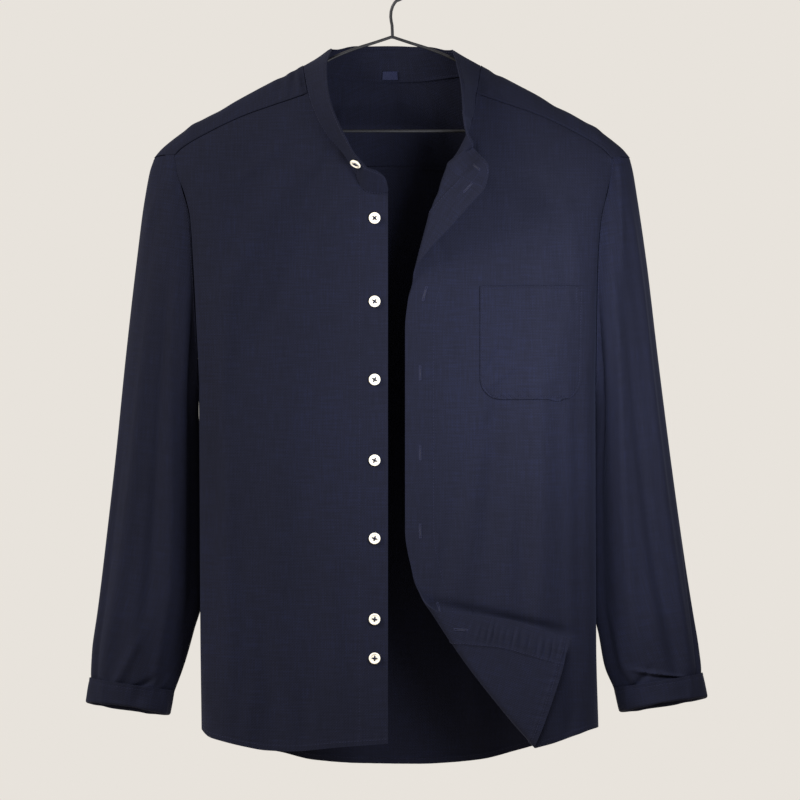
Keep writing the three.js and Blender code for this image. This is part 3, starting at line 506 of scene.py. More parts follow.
@dataclass(frozen=True)
class SewingThread:
    """Spun polyester thread, matched to the cloth: a little smoother, so its stitches catch the light."""

    name: str = "navy_sewing_thread"
    base: str = "#15172b"
    twist_mm: float = 0.5

    def build(self) -> bpy.types.Material:
        """Make the material, with the thread's twist as fine slanted bars."""
        material, tree, shader = new_material(self.name, self.base)
        place = add_node(tree, "ShaderNodeTexCoord").outputs["Object"]
        twist = add_node(tree, "ShaderNodeTexWave", {
            "Vector": place, "Scale": 0.5 / (self.twist_mm * MM), "Distortion": 2.0, "Detail": 1.0,
        }, bands_direction="DIAGONAL")
        tone = add_node(tree, "ShaderNodeValToRGB", {"Fac": twist.outputs["Fac"]})
        tone.color_ramp.elements[0].color = hex_colour("#0d0e1b")
        tone.color_ramp.elements[1].color = hex_colour(self.base)
        tree.links.new(tone.outputs["Color"], shader.inputs["Base Color"])
        shader.inputs["Roughness"].default_value = 0.7
        shader.inputs["Specular IOR Level"].default_value = 0.12
        return material


@dataclass(frozen=True)
class CastPolyester:
    """Cast and tumbled polyester button stock: ivory, glossy, with faint clouds like horn."""

    name: str = "ivory_cast_polyester"
    base: str = "#cbc7bb"
    cloud_mm: float = 3.5

    def build(self) -> bpy.types.Material:
        """Make the material, slightly see-through at its skin."""
        material, tree, shader = new_material(self.name, self.base)
        place = add_node(tree, "ShaderNodeTexCoord").outputs["Object"]
        cloud = add_node(tree, "ShaderNodeTexNoise", {
            "Vector": place, "Scale": 1 / (self.cloud_mm * MM), "Detail": 3.0, "Distortion": 0.6,
        })
        tone = add_node(tree, "ShaderNodeValToRGB", {"Fac": cloud.outputs["Fac"]})
        tone.color_ramp.elements[0].position = 0.3
        tone.color_ramp.elements[0].color = hex_colour("#b5ae9d")
        tone.color_ramp.elements[1].color = hex_colour("#d0ccc1")
        gloss = add_node(tree, "ShaderNodeMapRange", {
            "Value": cloud.outputs["Fac"], "To Min": 0.22, "To Max": 0.36,
        })
        tree.links.new(tone.outputs["Color"], shader.inputs["Base Color"])
        tree.links.new(gloss.outputs["Result"], shader.inputs["Roughness"])
        shader.inputs["Subsurface Weight"].default_value = 0.15
        shader.inputs["Subsurface Radius"].default_value = (0.002, 0.0015, 0.001)
        return material


@dataclass(frozen=True)
class LacqueredWire:
    """Drawn steel wire dipped in black lacquer: half gloss, with the dip's slight unevenness."""

    name: str = "black_lacquered_wire"
    base: str = "#0e0e10"
    ripple_mm: float = 5.0

    def build(self) -> bpy.types.Material:
        """Make the material."""
        material, tree, shader = new_material(self.name, self.base)
        place = add_node(tree, "ShaderNodeTexCoord").outputs["Object"]
        ripple = add_node(tree, "ShaderNodeTexNoise", {
            "Vector": place, "Scale": 1 / (self.ripple_mm * MM), "Detail": 2.0,
        })
        tone = add_node(tree, "ShaderNodeValToRGB", {"Fac": ripple.outputs["Fac"]})
        tone.color_ramp.elements[0].color = hex_colour(self.base)
        tone.color_ramp.elements[1].color = hex_colour("#1d1d20")
        gloss = add_node(tree, "ShaderNodeMapRange", {
            "Value": ripple.outputs["Fac"], "To Min": 0.42, "To Max": 0.56,
        })
        bump = add_node(tree, "ShaderNodeBump", {
            "Height": ripple.outputs["Fac"], "Strength": 0.25, "Distance": 0.05 * MM,
        })
        tree.links.new(tone.outputs["Color"], shader.inputs["Base Color"])
        tree.links.new(gloss.outputs["Result"], shader.inputs["Roughness"])
        tree.links.new(bump.outputs["Normal"], shader.inputs["Normal"])
        shader.inputs["Specular IOR Level"].default_value = 0.2
        return material


@dataclass(frozen=True)
class WovenSatin:
    """Satin ribbon, woven close: smoother and bluer than the cloth, with fine ribs across."""

    name: str = "navy_woven_satin"
    base: str = "#0a0d24"
    rib_mm: float = 0.7

    def build(self) -> bpy.types.Material:
        """Make the material."""
        material, tree, shader = new_material(self.name, self.base)
        cut = add_node(tree, "ShaderNodeUVMap", uv_map="Cut").outputs["UV"]
        ribs = add_node(tree, "ShaderNodeTexWave", {
            "Vector": cut, "Scale": 0.5 / (self.rib_mm * MM), "Distortion": 0.4,
        }, bands_direction="Y")
        tone = add_node(tree, "ShaderNodeValToRGB", {"Fac": ribs.outputs["Fac"]})
        tone.color_ramp.elements[0].color = hex_colour("#070918")
        tone.color_ramp.elements[1].color = hex_colour("#0e1330")
        bump = add_node(tree, "ShaderNodeBump", {
            "Height": ribs.outputs["Fac"], "Strength": 0.4, "Distance": 0.1 * MM,
        })
        tree.links.new(tone.outputs["Color"], shader.inputs["Base Color"])
        tree.links.new(bump.outputs["Normal"], shader.inputs["Normal"])
        shader.inputs["Roughness"].default_value = 0.6
        shader.inputs["Specular IOR Level"].default_value = 0.12
        return material


@dataclass(frozen=True)
class CottonLinenShade:
    """Dark mark laid along a buttonhole's slit, standing for the cut edge of the cloth down inside it: the same yarn,
    frayed, with its deep shade painted into the colour.
    """

    name: str = "navy_cut_yarn"
    base: str = "#0c0d16"

    def build(self) -> bpy.types.Material:
        """Make the material."""
        material, tree, shader = new_material(self.name, self.base)
        place = add_node(tree, "ShaderNodeTexCoord").outputs["Object"]
        fray = add_node(tree, "ShaderNodeTexNoise", {"Vector": place, "Scale": 900.0, "Detail": 2.0})
        tone = add_node(tree, "ShaderNodeValToRGB", {"Fac": fray.outputs["Fac"]})
        tone.color_ramp.elements[0].color = hex_colour("#07070c")
        tone.color_ramp.elements[1].color = hex_colour("#141524")
        tree.links.new(tone.outputs["Color"], shader.inputs["Base Color"])
        shader.inputs["Roughness"].default_value = 0.95
        return material


@dataclass(frozen=True)
class RolledVinyl:
    """Pale sheet floor of the studio, with a faint mottle. It is a stage and not part of the shirt."""

    name: str = "pale_studio_floor"
    base: str = "#ddd7cf"

    def build(self) -> bpy.types.Material:
        """Make the material."""
        material, tree, shader = new_material(self.name, self.base)
        place = add_node(tree, "ShaderNodeTexCoord").outputs["Object"]
        mottle = add_node(tree, "ShaderNodeTexNoise", {"Vector": place, "Scale": 6.0, "Detail": 4.0})
        tone = add_node(tree, "ShaderNodeValToRGB", {"Fac": mottle.outputs["Fac"]})
        tone.color_ramp.elements[0].color = hex_colour("#d6d0c7")
        tone.color_ramp.elements[1].color = hex_colour("#e3ddd5")
        tree.links.new(tone.outputs["Color"], shader.inputs["Base Color"])
        shader.inputs["Roughness"].default_value = 0.9
        return material


def write_mesh(name: str, points: Array, faces: list[tuple[int, ...]] | Array, material: bpy.types.Material,
               cut: Array | None = None, crisp: float = 40.0) -> bpy.types.Object:
    """Add one mesh object from points in millimetres.

    Args:
        name: the piece's name.
        points: places, one row each.
        faces: corners of each face.
        material: its finish.
        cut: place on the flat cut of every corner of every face, in their order, for the weave.
        crisp: angle in degrees past which an edge stays sharp.

    Returns:
        The linked object.
    """
    mesh = bpy.data.meshes.new(name)
    mesh.from_pydata((points * MM).tolist(), [], [tuple(map(int, f)) for f in faces])
    mesh.materials.append(material)
    if cut is not None:
        layer = mesh.uv_layers.new(name="Cut")
        layer.data.foreach_set("uv", (cut * MM).ravel())
    mesh.shade_smooth()
    mesh.set_sharp_from_angle(angle=math.radians(crisp))
    mesh.validate()
    thing = bpy.data.objects.new(name, mesh)
    bpy.context.scene.collection.objects.link(thing)
    return thing


@dataclass
class ClothSheet:
    """One cut piece of cloth as a grid of points on its right side, with their places on the flat cut."""

    name: str
    points: Array
    cut: Array
    facing: float = 1.0
    ring: bool = False
    wall: float | Array = 0.9
    turned_in: float = 0.0

    def face(self, row: int, column: int, direction: tuple[float, float, float]) -> None:
        """Turn the right side towards a direction.

        Args:
            row: row of the point that is tested.
            column: its column.
            direction: direction that its normal has to follow.
        """
        if float(self.normals()[row, column] @ np.array(direction)) < 0:
            self.facing = -self.facing

    def normals(self) -> Array:
        """Directions out of the right side, from the points around each one."""
        down = np.gradient(self.points, axis=0)
        if self.ring:
            across = np.roll(self.points, -1, axis=1) - np.roll(self.points, 1, axis=1)
        else:
            across = np.gradient(self.points, axis=1)
        return unit(np.cross(across, down)) * self.facing

    def relieve(self, relief: Array) -> None:
        """Move the cloth out along its normals.

        Args:
            relief: millimetres at each point.
        """
        self.points = self.points + self.normals() * relief[..., None]

    def line(self, rows: Array, columns: Array, lift: float = 0.1, inside: bool = False) -> tuple[Array, Array]:
        """Points and directions along a line drawn on the grid.

        Args:
            rows: places down the grid.
            columns: places across it, of the same length.
            lift: distance off the cloth.
            inside: True for a line on the wrong side.

        Returns:
            Points, and directions away from the cloth.
        """
        height, width = self.points.shape[:2]
        low_r = np.clip(np.floor(rows).astype(int), 0, height - 2)
        if self.ring:
            low_c = np.floor(columns).astype(int) % width
            high_c = (low_c + 1) % width
        else:
            low_c = np.clip(np.floor(columns).astype(int), 0, width - 2)
            high_c = low_c + 1
        down = (rows - low_r)[:, None]
        over = (columns - np.floor(columns) if self.ring else columns - low_c)[:, None]
        found = []
        for values in (self.points, self.normals()):
            upper = lerp(values[low_r, low_c], values[low_r, high_c], over)
            lower = lerp(values[low_r + 1, low_c], values[low_r + 1, high_c], over)
            found.append(lerp(upper, lower, down))
        normals = unit(found[1])
        if not inside:
            return found[0] + normals * lift, normals
        wall = self.wall if isinstance(self.wall, float) else self.wall[low_r, low_c][:, None]
        return found[0] - normals * (wall + lift), -normals

    def build(self, material: bpy.types.Material, node: str, rests_on: list[str]) -> bpy.types.Object:
        """Make the shell, and say what it is.

        Args:
            material: its cloth.
            node: the solid that it stands for.
            rests_on: nodes that it is sewn to or hangs from; not used.

        Returns:
            The finished piece.
        """
        rows, columns = self.points.shape[:2]
        wall = self.wall if isinstance(self.wall, float) else self.wall[..., None]
        behind = self.points - self.normals() * wall
        points = np.concatenate([self.points.reshape(-1, 3), behind.reshape(-1, 3)])
        across = columns if self.ring else columns - 1
        r, c = np.meshgrid(np.arange(rows - 1), np.arange(across), indexing="ij")
        r, c = r.ravel(), c.ravel()
        corners = [(r, c, 0), (r, c + 1, 0), (r + 1, c + 1, 0), (r + 1, c, 0)]
        lower = [(r + 1, c, 1), (r + 1, c + 1, 1), (r, c + 1, 1), (r, c, 1)]
        k = np.arange(across)
        zero, last = np.zeros_like(k), np.full_like(k, rows - 1)
        groups = [corners, lower]
        groups.append([(zero, k + 1, 0), (zero, k, 0), (zero, k, 1), (zero, k + 1, 1)])
        groups.append([(last, k, 0), (last, k + 1, 0), (last, k + 1, 1), (last, k, 1)])
        if not self.ring:
            k = np.arange(rows - 1)
            zero, last = np.zeros_like(k), np.full_like(k, columns - 1)
            groups.append([(k, zero, 0), (k + 1, zero, 0), (k + 1, zero, 1), (k, zero, 1)])
            groups.append([(k + 1, last, 0), (k, last, 0), (k, last, 1), (k + 1, last, 1)])
        faces, flat = [], []
        cut = self.cut
        if self.ring:
            step = cut[:, 1:2] - cut[:, 0:1]
            cut = np.concatenate([cut, cut[:, -1:] + step], axis=1)
        for group in groups:
            faces.append(np.stack([layer * rows * columns + y * columns + x % columns for y, x, layer in group], 1))
            flat.append(np.stack([cut[y, x] for y, x, _ in group], axis=1))
        quads, flat_cut = np.concatenate(faces), np.concatenate(flat).reshape(-1, 2)
        a, b, d = points[quads[:, 0]], points[quads[:, 1]], points[quads[:, 3]]
        if np.einsum("ij,ij->", a, np.cross(b - a, d - a)) < 0:
            quads = quads[:, ::-1]
            flat_cut = flat_cut.reshape(-1, 4, 2)[:, ::-1].reshape(-1, 2)
        piece = write_mesh(self.name, points, quads, material, flat_cut)
        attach(piece, "root")
        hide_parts(node)
        span = (self.cut.reshape(-1, 2).max(0) - self.cut.reshape(-1, 2).min(0) + np.array([0, self.turned_in])) * MM
        wide, tall = np.diff(cut, axis=1)[:-1], np.diff(cut, axis=0)[:, :-1]
        cells = np.abs(wide[..., 0] * tall[..., 1] - wide[..., 1] * tall[..., 0])
        area = float(cells.sum()) * MM * MM + span[0] * self.turned_in * MM
        area = min(max(area, 0.31 * span[0] * span[1]), span[0] * span[1])
        log.info("%s: %d faces, cut %.0f x %.0f mm", self.name, len(quads), *(span / MM))
        return piece


@dataclass
class Stitching:
    """Rows of sewing, each stitch a small spindle of thread that lies on the cloth."""

    pitch: float = 3.2
    length: float = 2.3
    radius: float = 0.28
    spots: list[Array] = field(default_factory=list)

    def run(self, line: tuple[Array, Array]) -> None:
        """Sew along a line.

        Args:
            line: points and directions away from the cloth.
        """
        points, normals = line
        far = np.concatenate([[0], np.cumsum(np.linalg.norm(np.diff(points, axis=0), axis=1))])
        places = np.arange(self.pitch / 2, far[-1], self.pitch)
        if len(places) == 0:
            return
        centre = np.stack([np.interp(places, far, points[:, k]) for k in range(3)], axis=1)
        ahead = np.stack([np.interp(places + 0.5, far, points[:, k]) for k in range(3)], axis=1)
        before = np.stack([np.interp(places - 0.5, far, points[:, k]) for k in range(3)], axis=1)
        out = unit(np.stack([np.interp(places, far, normals[:, k]) for k in range(3)], axis=1))
        self.lay(centre, unit(ahead - before), out, self.length, self.radius)

    def lay(self, centre: Array, along: Array, out: Array, length: float, radius: float) -> None:
        """Lay single stitches.

        Args:
            centre: middle of each stitch.
            along: direction of each.
            out: direction away from the cloth.
            length: length of each.
            radius: half thickness of each.
        """
        side = unit(np.cross(out, along))
        rings = [centre - along * 0.5 * length - out * radius]
        for share in (-0.28, 0.28):
            middle = centre + along * share * length
            rings += [middle + side * radius, middle + out * radius, middle - side * radius, middle - out * radius]
        rings.append(centre + along * 0.5 * length - out * radius)
        self.spots.append(np.stack(rings, axis=1))

    def build(self, name: str, material: bpy.types.Material) -> bpy.types.Object:
        """Make all the stitches as one piece.

        Args:
            name: the piece's name.
            material: its thread.

        Returns:
            The finished piece.
        """
        spots = np.concatenate(self.spots)
        pattern = [(0, 1 + (k + 1) % 4, 1 + k) for k in range(4)]
        pattern += [(1 + k, 1 + (k + 1) % 4, 5 + (k + 1) % 4, 5 + k) for k in range(4)]
        pattern += [(9, 5 + k, 5 + (k + 1) % 4) for k in range(4)]
        faces = [tuple(i * 10 + corner for corner in face) for i in range(len(spots)) for face in pattern]
        piece = write_mesh(name, spots.reshape(-1, 3), faces, material, None, 60.0)
        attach(piece, "root")
        log.info("%s: %d stitches", name, len(spots))
        return piece


def meet(column: Callable[[Array], Array], line: Callable[[Array], Array], start: Array) -> Array:
    """Height at which each column meets a line that is given by distance out.

    Args:
        column: distance out of the columns at given heights.
        line: height of the line at given distances out.
        start: first guess.

    Returns:
        Heights, one for each column.
    """
    z = start
    for _ in range(60):
        z = lerp(z, line(column(z)), 0.4)
    return z


def ease(away: Array, reach: float) -> Array:
    """Share that rises softly from 0 at an edge to 1 at a reach from it."""
    t = np.clip(away / reach, 0, 1)
    return t * t * (3 - 2 * t)


@dataclass
class Front:
    """One front: neck line, straight front edge with its folded placket, curved hem and rounded side."""

    side: Side
    edge: Curve
    neck: Curve
    hem: Curve
    creases: list[Crease]
    placket: float = 31.5
    hem_fold: float = 8.5
    seed: float = 0.0

    def lap(self, out: Array) -> Array:
        """How far the cloth runs on under the yoke, which is lapped over it and sewn down."""
        return SEAM_LAP * ease(out - FORM.neck_corner - 1, 6)

    def top(self, out: Array) -> Array:
        """Height of the cloth's upper edge, along the neck and under the yoke, at a distance out."""
        line = np.where(out < FORM.neck_corner, self.neck(out), FORM.yoke_front_seam(out))
        return line - HALF_GAP + self.lap(out)

    def columns(self, z: Array) -> Array:
        """Distance out of every column.

        Args:
            z: heights, with the last axis one for each column, or one height.

        Returns:
            Distances out.
        """
        z = np.asarray(z, float)
        end = FORM.edge_out[self.side](FORM.yoke_end_z)
        body = FORM.edge_out[self.side](z) - FORM.side_round
        share = (FORM.neck_corner - FORM.guide_out) / (end - FORM.side_round - FORM.guide_out)
        corner = lerp(FORM.guide_out, body, share)
        strip = np.concatenate([np.arange(0, 6, 1.0), np.arange(6, 28, 2.0), np.arange(28, 35, 1.0)])
        kind, amount = [], []
        for group, amounts in enumerate((strip, np.arange(27) / 27, np.arange(33) / 33, FORM.side_steps(14))):
            kind += [group] * len(amounts)
            amount += list(amounts)
        kind, amount = np.array(kind), np.array(amount)
        start = self.edge(z)
        return np.select([kind == 0, kind == 1, kind == 2, kind == 3], [
            start + amount, lerp(start + 35, corner, amount), lerp(corner, body, amount),
            FORM.edge_out[self.side](z) - amount,
        ])

    def loose(self, x: Array, z: Array) -> Array:
        """Relief of the front's creases and slack, which the pocket on it follows."""
        return creased(self.creases, x, z) + slack(x, z, self.seed)

    def sheet(self) -> ClothSheet:
        """Lay the cloth out on the body's form, with its folds, creases and sewn edges."""
        sign = self.side.value
        count = len(self.columns(np.float64(-500)))
        top = meet(self.columns, self.top, np.full(count, -140.0))
        bottom = meet(self.columns, self.hem, np.full(count, -820.0))
        length = float(np.mean(top - bottom))
        shares = stations(length, 3.0, [(0, 7), (length - (135 if self.side is Side.LEFT else 12), length)])
        z = lerp(top, bottom, shares[:, None])
        out = self.columns(z)
        x = sign * out
        x[:, -1] = sign * (out[:, -1] - 0.02)
        points = (FORM.turned if self.side is Side.LEFT else FORM.front)(x, z)
        below = z[:, -1] <= FORM.armpit_z
        points[below, -1, 1] = -HALF_GAP
        sheet = ClothSheet(f"{self.side.word}_front_cloth", points, np.stack([x, z], axis=-1))
        sheet.face(len(z) // 2, count // 2, (0, -1, 0))
        from_edge, from_hem = out - self.edge(z), z - self.hem(out)
        from_top, from_side = self.top(out) - z, FORM.edge_out[self.side](z) - out
        quiet = ease(from_side, 16) * ease(from_top, 10)
        relief = self.loose(x, z) * quiet
        relief += sewn_edge(from_edge, self.placket, 0.45, 0.35)
        relief += sewn_edge(from_hem, self.hem_fold, 0.35, 0.3)
        relief += pucker(from_edge - self.placket + 1.6, z, self.seed, 0.16, 3.0)
        relief += pucker(from_hem - self.hem_fold + 1.6, x, self.seed + 2, 0.35, 5.0)
        relief += pucker(from_top, x + z, self.seed + 1, 0.14, 5.0) * ease(from_top, 2)
        lap = self.lap(out)
        relief -= SEAM_TUCK * (1 - ease(from_top - lap + 0.7, 1.2)) * ease(lap, 2)
        relief *= ease(from_side, 3)
        fold_in = doubled(from_edge, self.placket, 0.7) + doubled(from_hem, self.hem_fold, 0.6)
        if self.side is Side.LEFT:
            puckered = ease(-705 - z, 60) * np.exp(-((from_edge - 18) / 10) ** 2)
            uneven = 0.7 + 0.5 * np.sin(z / 7.3 + 1.0) * np.sin(z / 2.9)
            relief += 0.72 * puckered * uneven * np.sin(z / 1.2 + 1.8 * np.sin(z / 12) + from_edge / 7)
            fold_in += 0.25 * puckered
        sheet.relieve(relief)
        sheet.wall = 0.9 + fold_in
        return sheet


@dataclass
class Back:
    """The back: one plain panel under the yoke, with a curved shirt-tail hem."""

    hem: Curve
    creases: list[Crease]
    hem_fold: float = 8.0
    inner: int = 118
    round: int = 14

    def columns(self, z: Array) -> Array:
        """Place across of every column, from the wearer's right to the left."""
        z = np.asarray(z, float)
        right, left = FORM.edge_out[Side.RIGHT](z), FORM.edge_out[Side.LEFT](z)
        steps = FORM.side_steps(self.round)
        shares = np.arange(1, self.inner) / self.inner
        kind = np.array([0] * len(steps) + [1] * len(shares) + [2] * len(steps))
        amount = np.concatenate([steps[::-1], shares, steps])
        flat = lerp(-(right - FORM.side_round), left - FORM.side_round, amount)
        return np.select([kind == 0, kind == 1, kind == 2], [amount - right, flat, left - amount])

    def sheet(self) -> ClothSheet:
        """Lay the cloth out on the back's form."""
        count = len(self.columns(np.float64(-500)))
        top = meet(lambda z: np.abs(self.columns(z)), FORM.yoke_back_seam, np.full(count, -216.0))
        top = top - HALF_GAP + SEAM_LAP
        bottom = meet(self.columns, self.hem, np.full(count, -820.0))
        length = float(np.mean(top - bottom))
        z = lerp(top, bottom, stations(length, 3.4, [(0, 6), (length - 11, length)])[:, None])
        x = self.columns(z)
        points = FORM.back(x, z)
        below = z[:, 0] <= FORM.armpit_z
        points[below, 0, 1] = HALF_GAP
        points[z[:, -1] <= FORM.armpit_z, -1, 1] = HALF_GAP
        sheet = ClothSheet("back_cloth", points, np.stack([x, z], axis=-1))
        sheet.face(len(z) // 2, count // 2, (0, 1, 0))
        from_side = FORM.edge(x, z) - np.abs(x)
        from_hem, from_top = z - self.hem(x), top - z
        relief = (creased(self.creases, x, z) + slack(x, z, 4.2)) * ease(from_side, 16) * ease(from_top, 12)
        relief += sewn_edge(from_hem, self.hem_fold) + pucker(from_hem - self.hem_fold + 1.6, x, 5.0, 0.35, 5.0)
        relief += pucker(from_top - SEAM_LAP, x, 2.0, 0.2, 6.0) * ease(from_top, 2)
        relief -= SEAM_TUCK * (1 - ease(from_top - SEAM_LAP + 0.7, 1.2))
        sheet.relieve(relief * ease(from_side, 3))
        sheet.wall = 0.9 + doubled(from_hem, self.hem_fold, 0.6)
        return sheet


@dataclass
class Shoulders:
    """The yoke: from the forward seams and the neck over the shoulders to the back seam, one piece."""

    coarse: int = 6
    neck_steps: int = 14
    nose_ease: float = 1.6
    nose_fade: float = 0.6
    neck_out: Curve = field(default_factory=lambda: Curve([
        (0, 88.5), (1, 91.5), (2, 93.5), (3, 92.5), (4, 84), (5, 67), (6, 36), (7, 0),
    ]))
    neck_over: Curve = field(default_factory=lambda: Curve([
        (0, 44.4), (1, 25), (2, 6), (3, -10), (4, -23), (5, -37), (6, -57.5), (7, -72),
    ]))
    creases: tuple[Crease, ...] = (
        Crease(-104, 22, 46, 3.2, 0.9, 96), Crease(-97, 30, 30, 2.2, -0.7, 84),
        Crease(-116, 12, 60, 5, 0.7, 102),
        Crease(112, 18, 60, 5, 0.8, 80), Crease(101, 30, 40, 3, -0.6, 92), Crease(160, -20, 90, 9, 0.9, 60),
        Crease(-165, -30, 90, 10, 0.9, 118), Crease(-210, 5, 50, 6, -0.8, 100),
        Crease(214, 4, 54, 6, -0.8, 82),
        Crease(-60, -105, 70, 8, 0.8, 72), Crease(48, -112, 80, 9, 0.8, 104),
        Crease(4, -96, 44, 6, -0.6, 90),
    )

    def stations_out(self, side: Side) -> Array:
        """Shared stations of the shoulder seam, from the neck's corner to the armhole."""
        end = FORM.edge_out[side](FORM.yoke_end_z)
        plain = lerp(FORM.neck_corner, end - FORM.side_round, np.arange(self.coarse) / self.coarse)
        return np.concatenate([plain, end - FORM.side_steps(4)])

    def ends(self, side: Side) -> dict[str, float]:
        """Sizes of the nose along one armhole."""
        seam = float(FORM.edge_out[side](FORM.yoke_end_z))
        back_z = float(meet(lambda z: FORM.edge_out[side](z), FORM.yoke_back_seam, np.array([-216.0]))[0])
        back_out = float(FORM.edge_out[side](back_z))
        return {
            "seam": seam, "back_out": back_out,
            "from": float(FORM.distance_over(seam, FORM.yoke_front_seam(seam) + HALF_GAP)),
            "to": -float(FORM.distance_over(back_out, back_z)),
        }

    def nose(self, side: Side, over: Array) -> Array:
        """Distance out of the yoke's armhole edge, fullest on the shoulder's tip."""
        size = self.ends(side)
        share = np.where(over > 0, over / size["from"], over / size["to"])
        foot = np.where(over > 0, size["seam"], size["back_out"])
        return lerp(250.0, foot, np.minimum(1, share) ** self.nose_ease)

    def grid(self, places: Array, shares: Array) -> tuple[Array, Array]:
        """Places on the shoulders of columns and rows.

        Args:
            places: columns by coarse number, 0 at the right armhole.
            shares: rows, 0 on the front seam or neck edge and 1 on the back seam.

        Returns:
            X and distance over the shoulder line, rows by columns.
        """
        shoulder = self.coarse + 4
        half = shoulder + self.neck_steps
        fold = np.minimum(places, 2 * half - places)
        left = places > half
        step = np.clip((fold - shoulder) / self.neck_steps, 0, 1) * 7
        tops = []
        for side in (Side.RIGHT, Side.LEFT):
            outs = self.stations_out(side)[::-1]
            out = np.interp(fold, np.arange(shoulder + 1), outs)
            over = FORM.distance_over(out, FORM.yoke_front_seam(out) + HALF_GAP)
            tops.append((np.where(fold < shoulder, out, self.neck_out(step)),
                         np.where(fold < shoulder, over, self.neck_over(step))))
        top_out, top_over = (np.where(left, tops[1][k], tops[0][k]) for k in (0, 1))
        sign = np.where(left, 1.0, -1.0)
        right, wide = (FORM.edge_out[side](np.float64(-216)) for side in (Side.RIGHT, Side.LEFT))
        steps = FORM.side_steps(4)
        inner = np.arange(1, 14) / 14
        seam = np.concatenate([
            steps[::-1] - right, lerp(FORM.side_round - right, wide - FORM.side_round, inner), wide - steps,
        ])
        seam[0], seam[-1] = -self.ends(Side.RIGHT)["back_out"], self.ends(Side.LEFT)["back_out"]
        seam_x = np.interp(places / (2 * half) * (len(seam) - 1), np.arange(len(seam)), seam)
        bottom = -FORM.distance_over(np.abs(seam_x), FORM.yoke_back_seam(np.abs(seam_x)) + HALF_GAP)
        over = lerp(top_over, bottom, shares[:, None])
        x = np.empty_like(over)
        for side, chosen in ((Side.RIGHT, ~left), (Side.LEFT, left)):
            size = self.ends(side)
            part = over[:, chosen]
            share = np.clip((size["from"] - part) / (size["from"] - size["to"]), 0, 1)
            bulge = self.nose(side, part) - lerp(size["seam"], size["back_out"], share)
            base = lerp(sign[chosen] * top_out[chosen], seam_x[chosen], shares[:, None])
            x[:, chosen] = base + sign[chosen] * bulge * self.nose_fade ** fold[chosen]
        return x, over

    def sheet(self) -> ClothSheet:
        """Lay the yoke over the shoulders."""
        shoulder, half = self.coarse + 4, self.coarse + 4 + self.neck_steps
        side = np.concatenate([np.linspace(0, 4, 14, endpoint=False), np.linspace(4, shoulder, 34, endpoint=False)])
        neck = np.linspace(shoulder, half, 76, endpoint=False)
        places = np.concatenate([side, neck, [half], (2 * half - neck)[::-1], (2 * half - side)[::-1]])
        shares = stations(190.0, 2.8, [(0, 7), (183, 190)])
        x, over = self.grid(places, shares)
        sheet = ClothSheet("yoke_cloth", FORM.over_shoulder(x, over), np.stack([x, over], axis=-1))
        sheet.face(5, half, (0, 1, 0))
        from_top, from_back = over[:1] - over, over - over[-1:]
        inward = np.minimum(x - x[:, :1], x[:, -1:] - x)
        relief = (creased(list(self.creases), x, over) + 0.7 * slack(x, over, 1.4)) * ease(inward, 12)
        relief *= ease(from_top, 8) * ease(from_back, 8)
        relief += pucker(from_back - 2, x, 2.6, 0.16, 5) * ease(from_back, 2)
        seam = sewn_edge(from_top, 3.6, 0.3, 0.35) + pucker(from_top - 2, x + over, 0.7, 0.16, 5)
        relief += seam * ease(inward, 4)
        relief -= 0.35 * np.exp(-((from_back - 2) / 1.0) ** 2)
        sheet.relieve(relief * ease(from_top, 1) * ease(inward, 3))
        return sheet


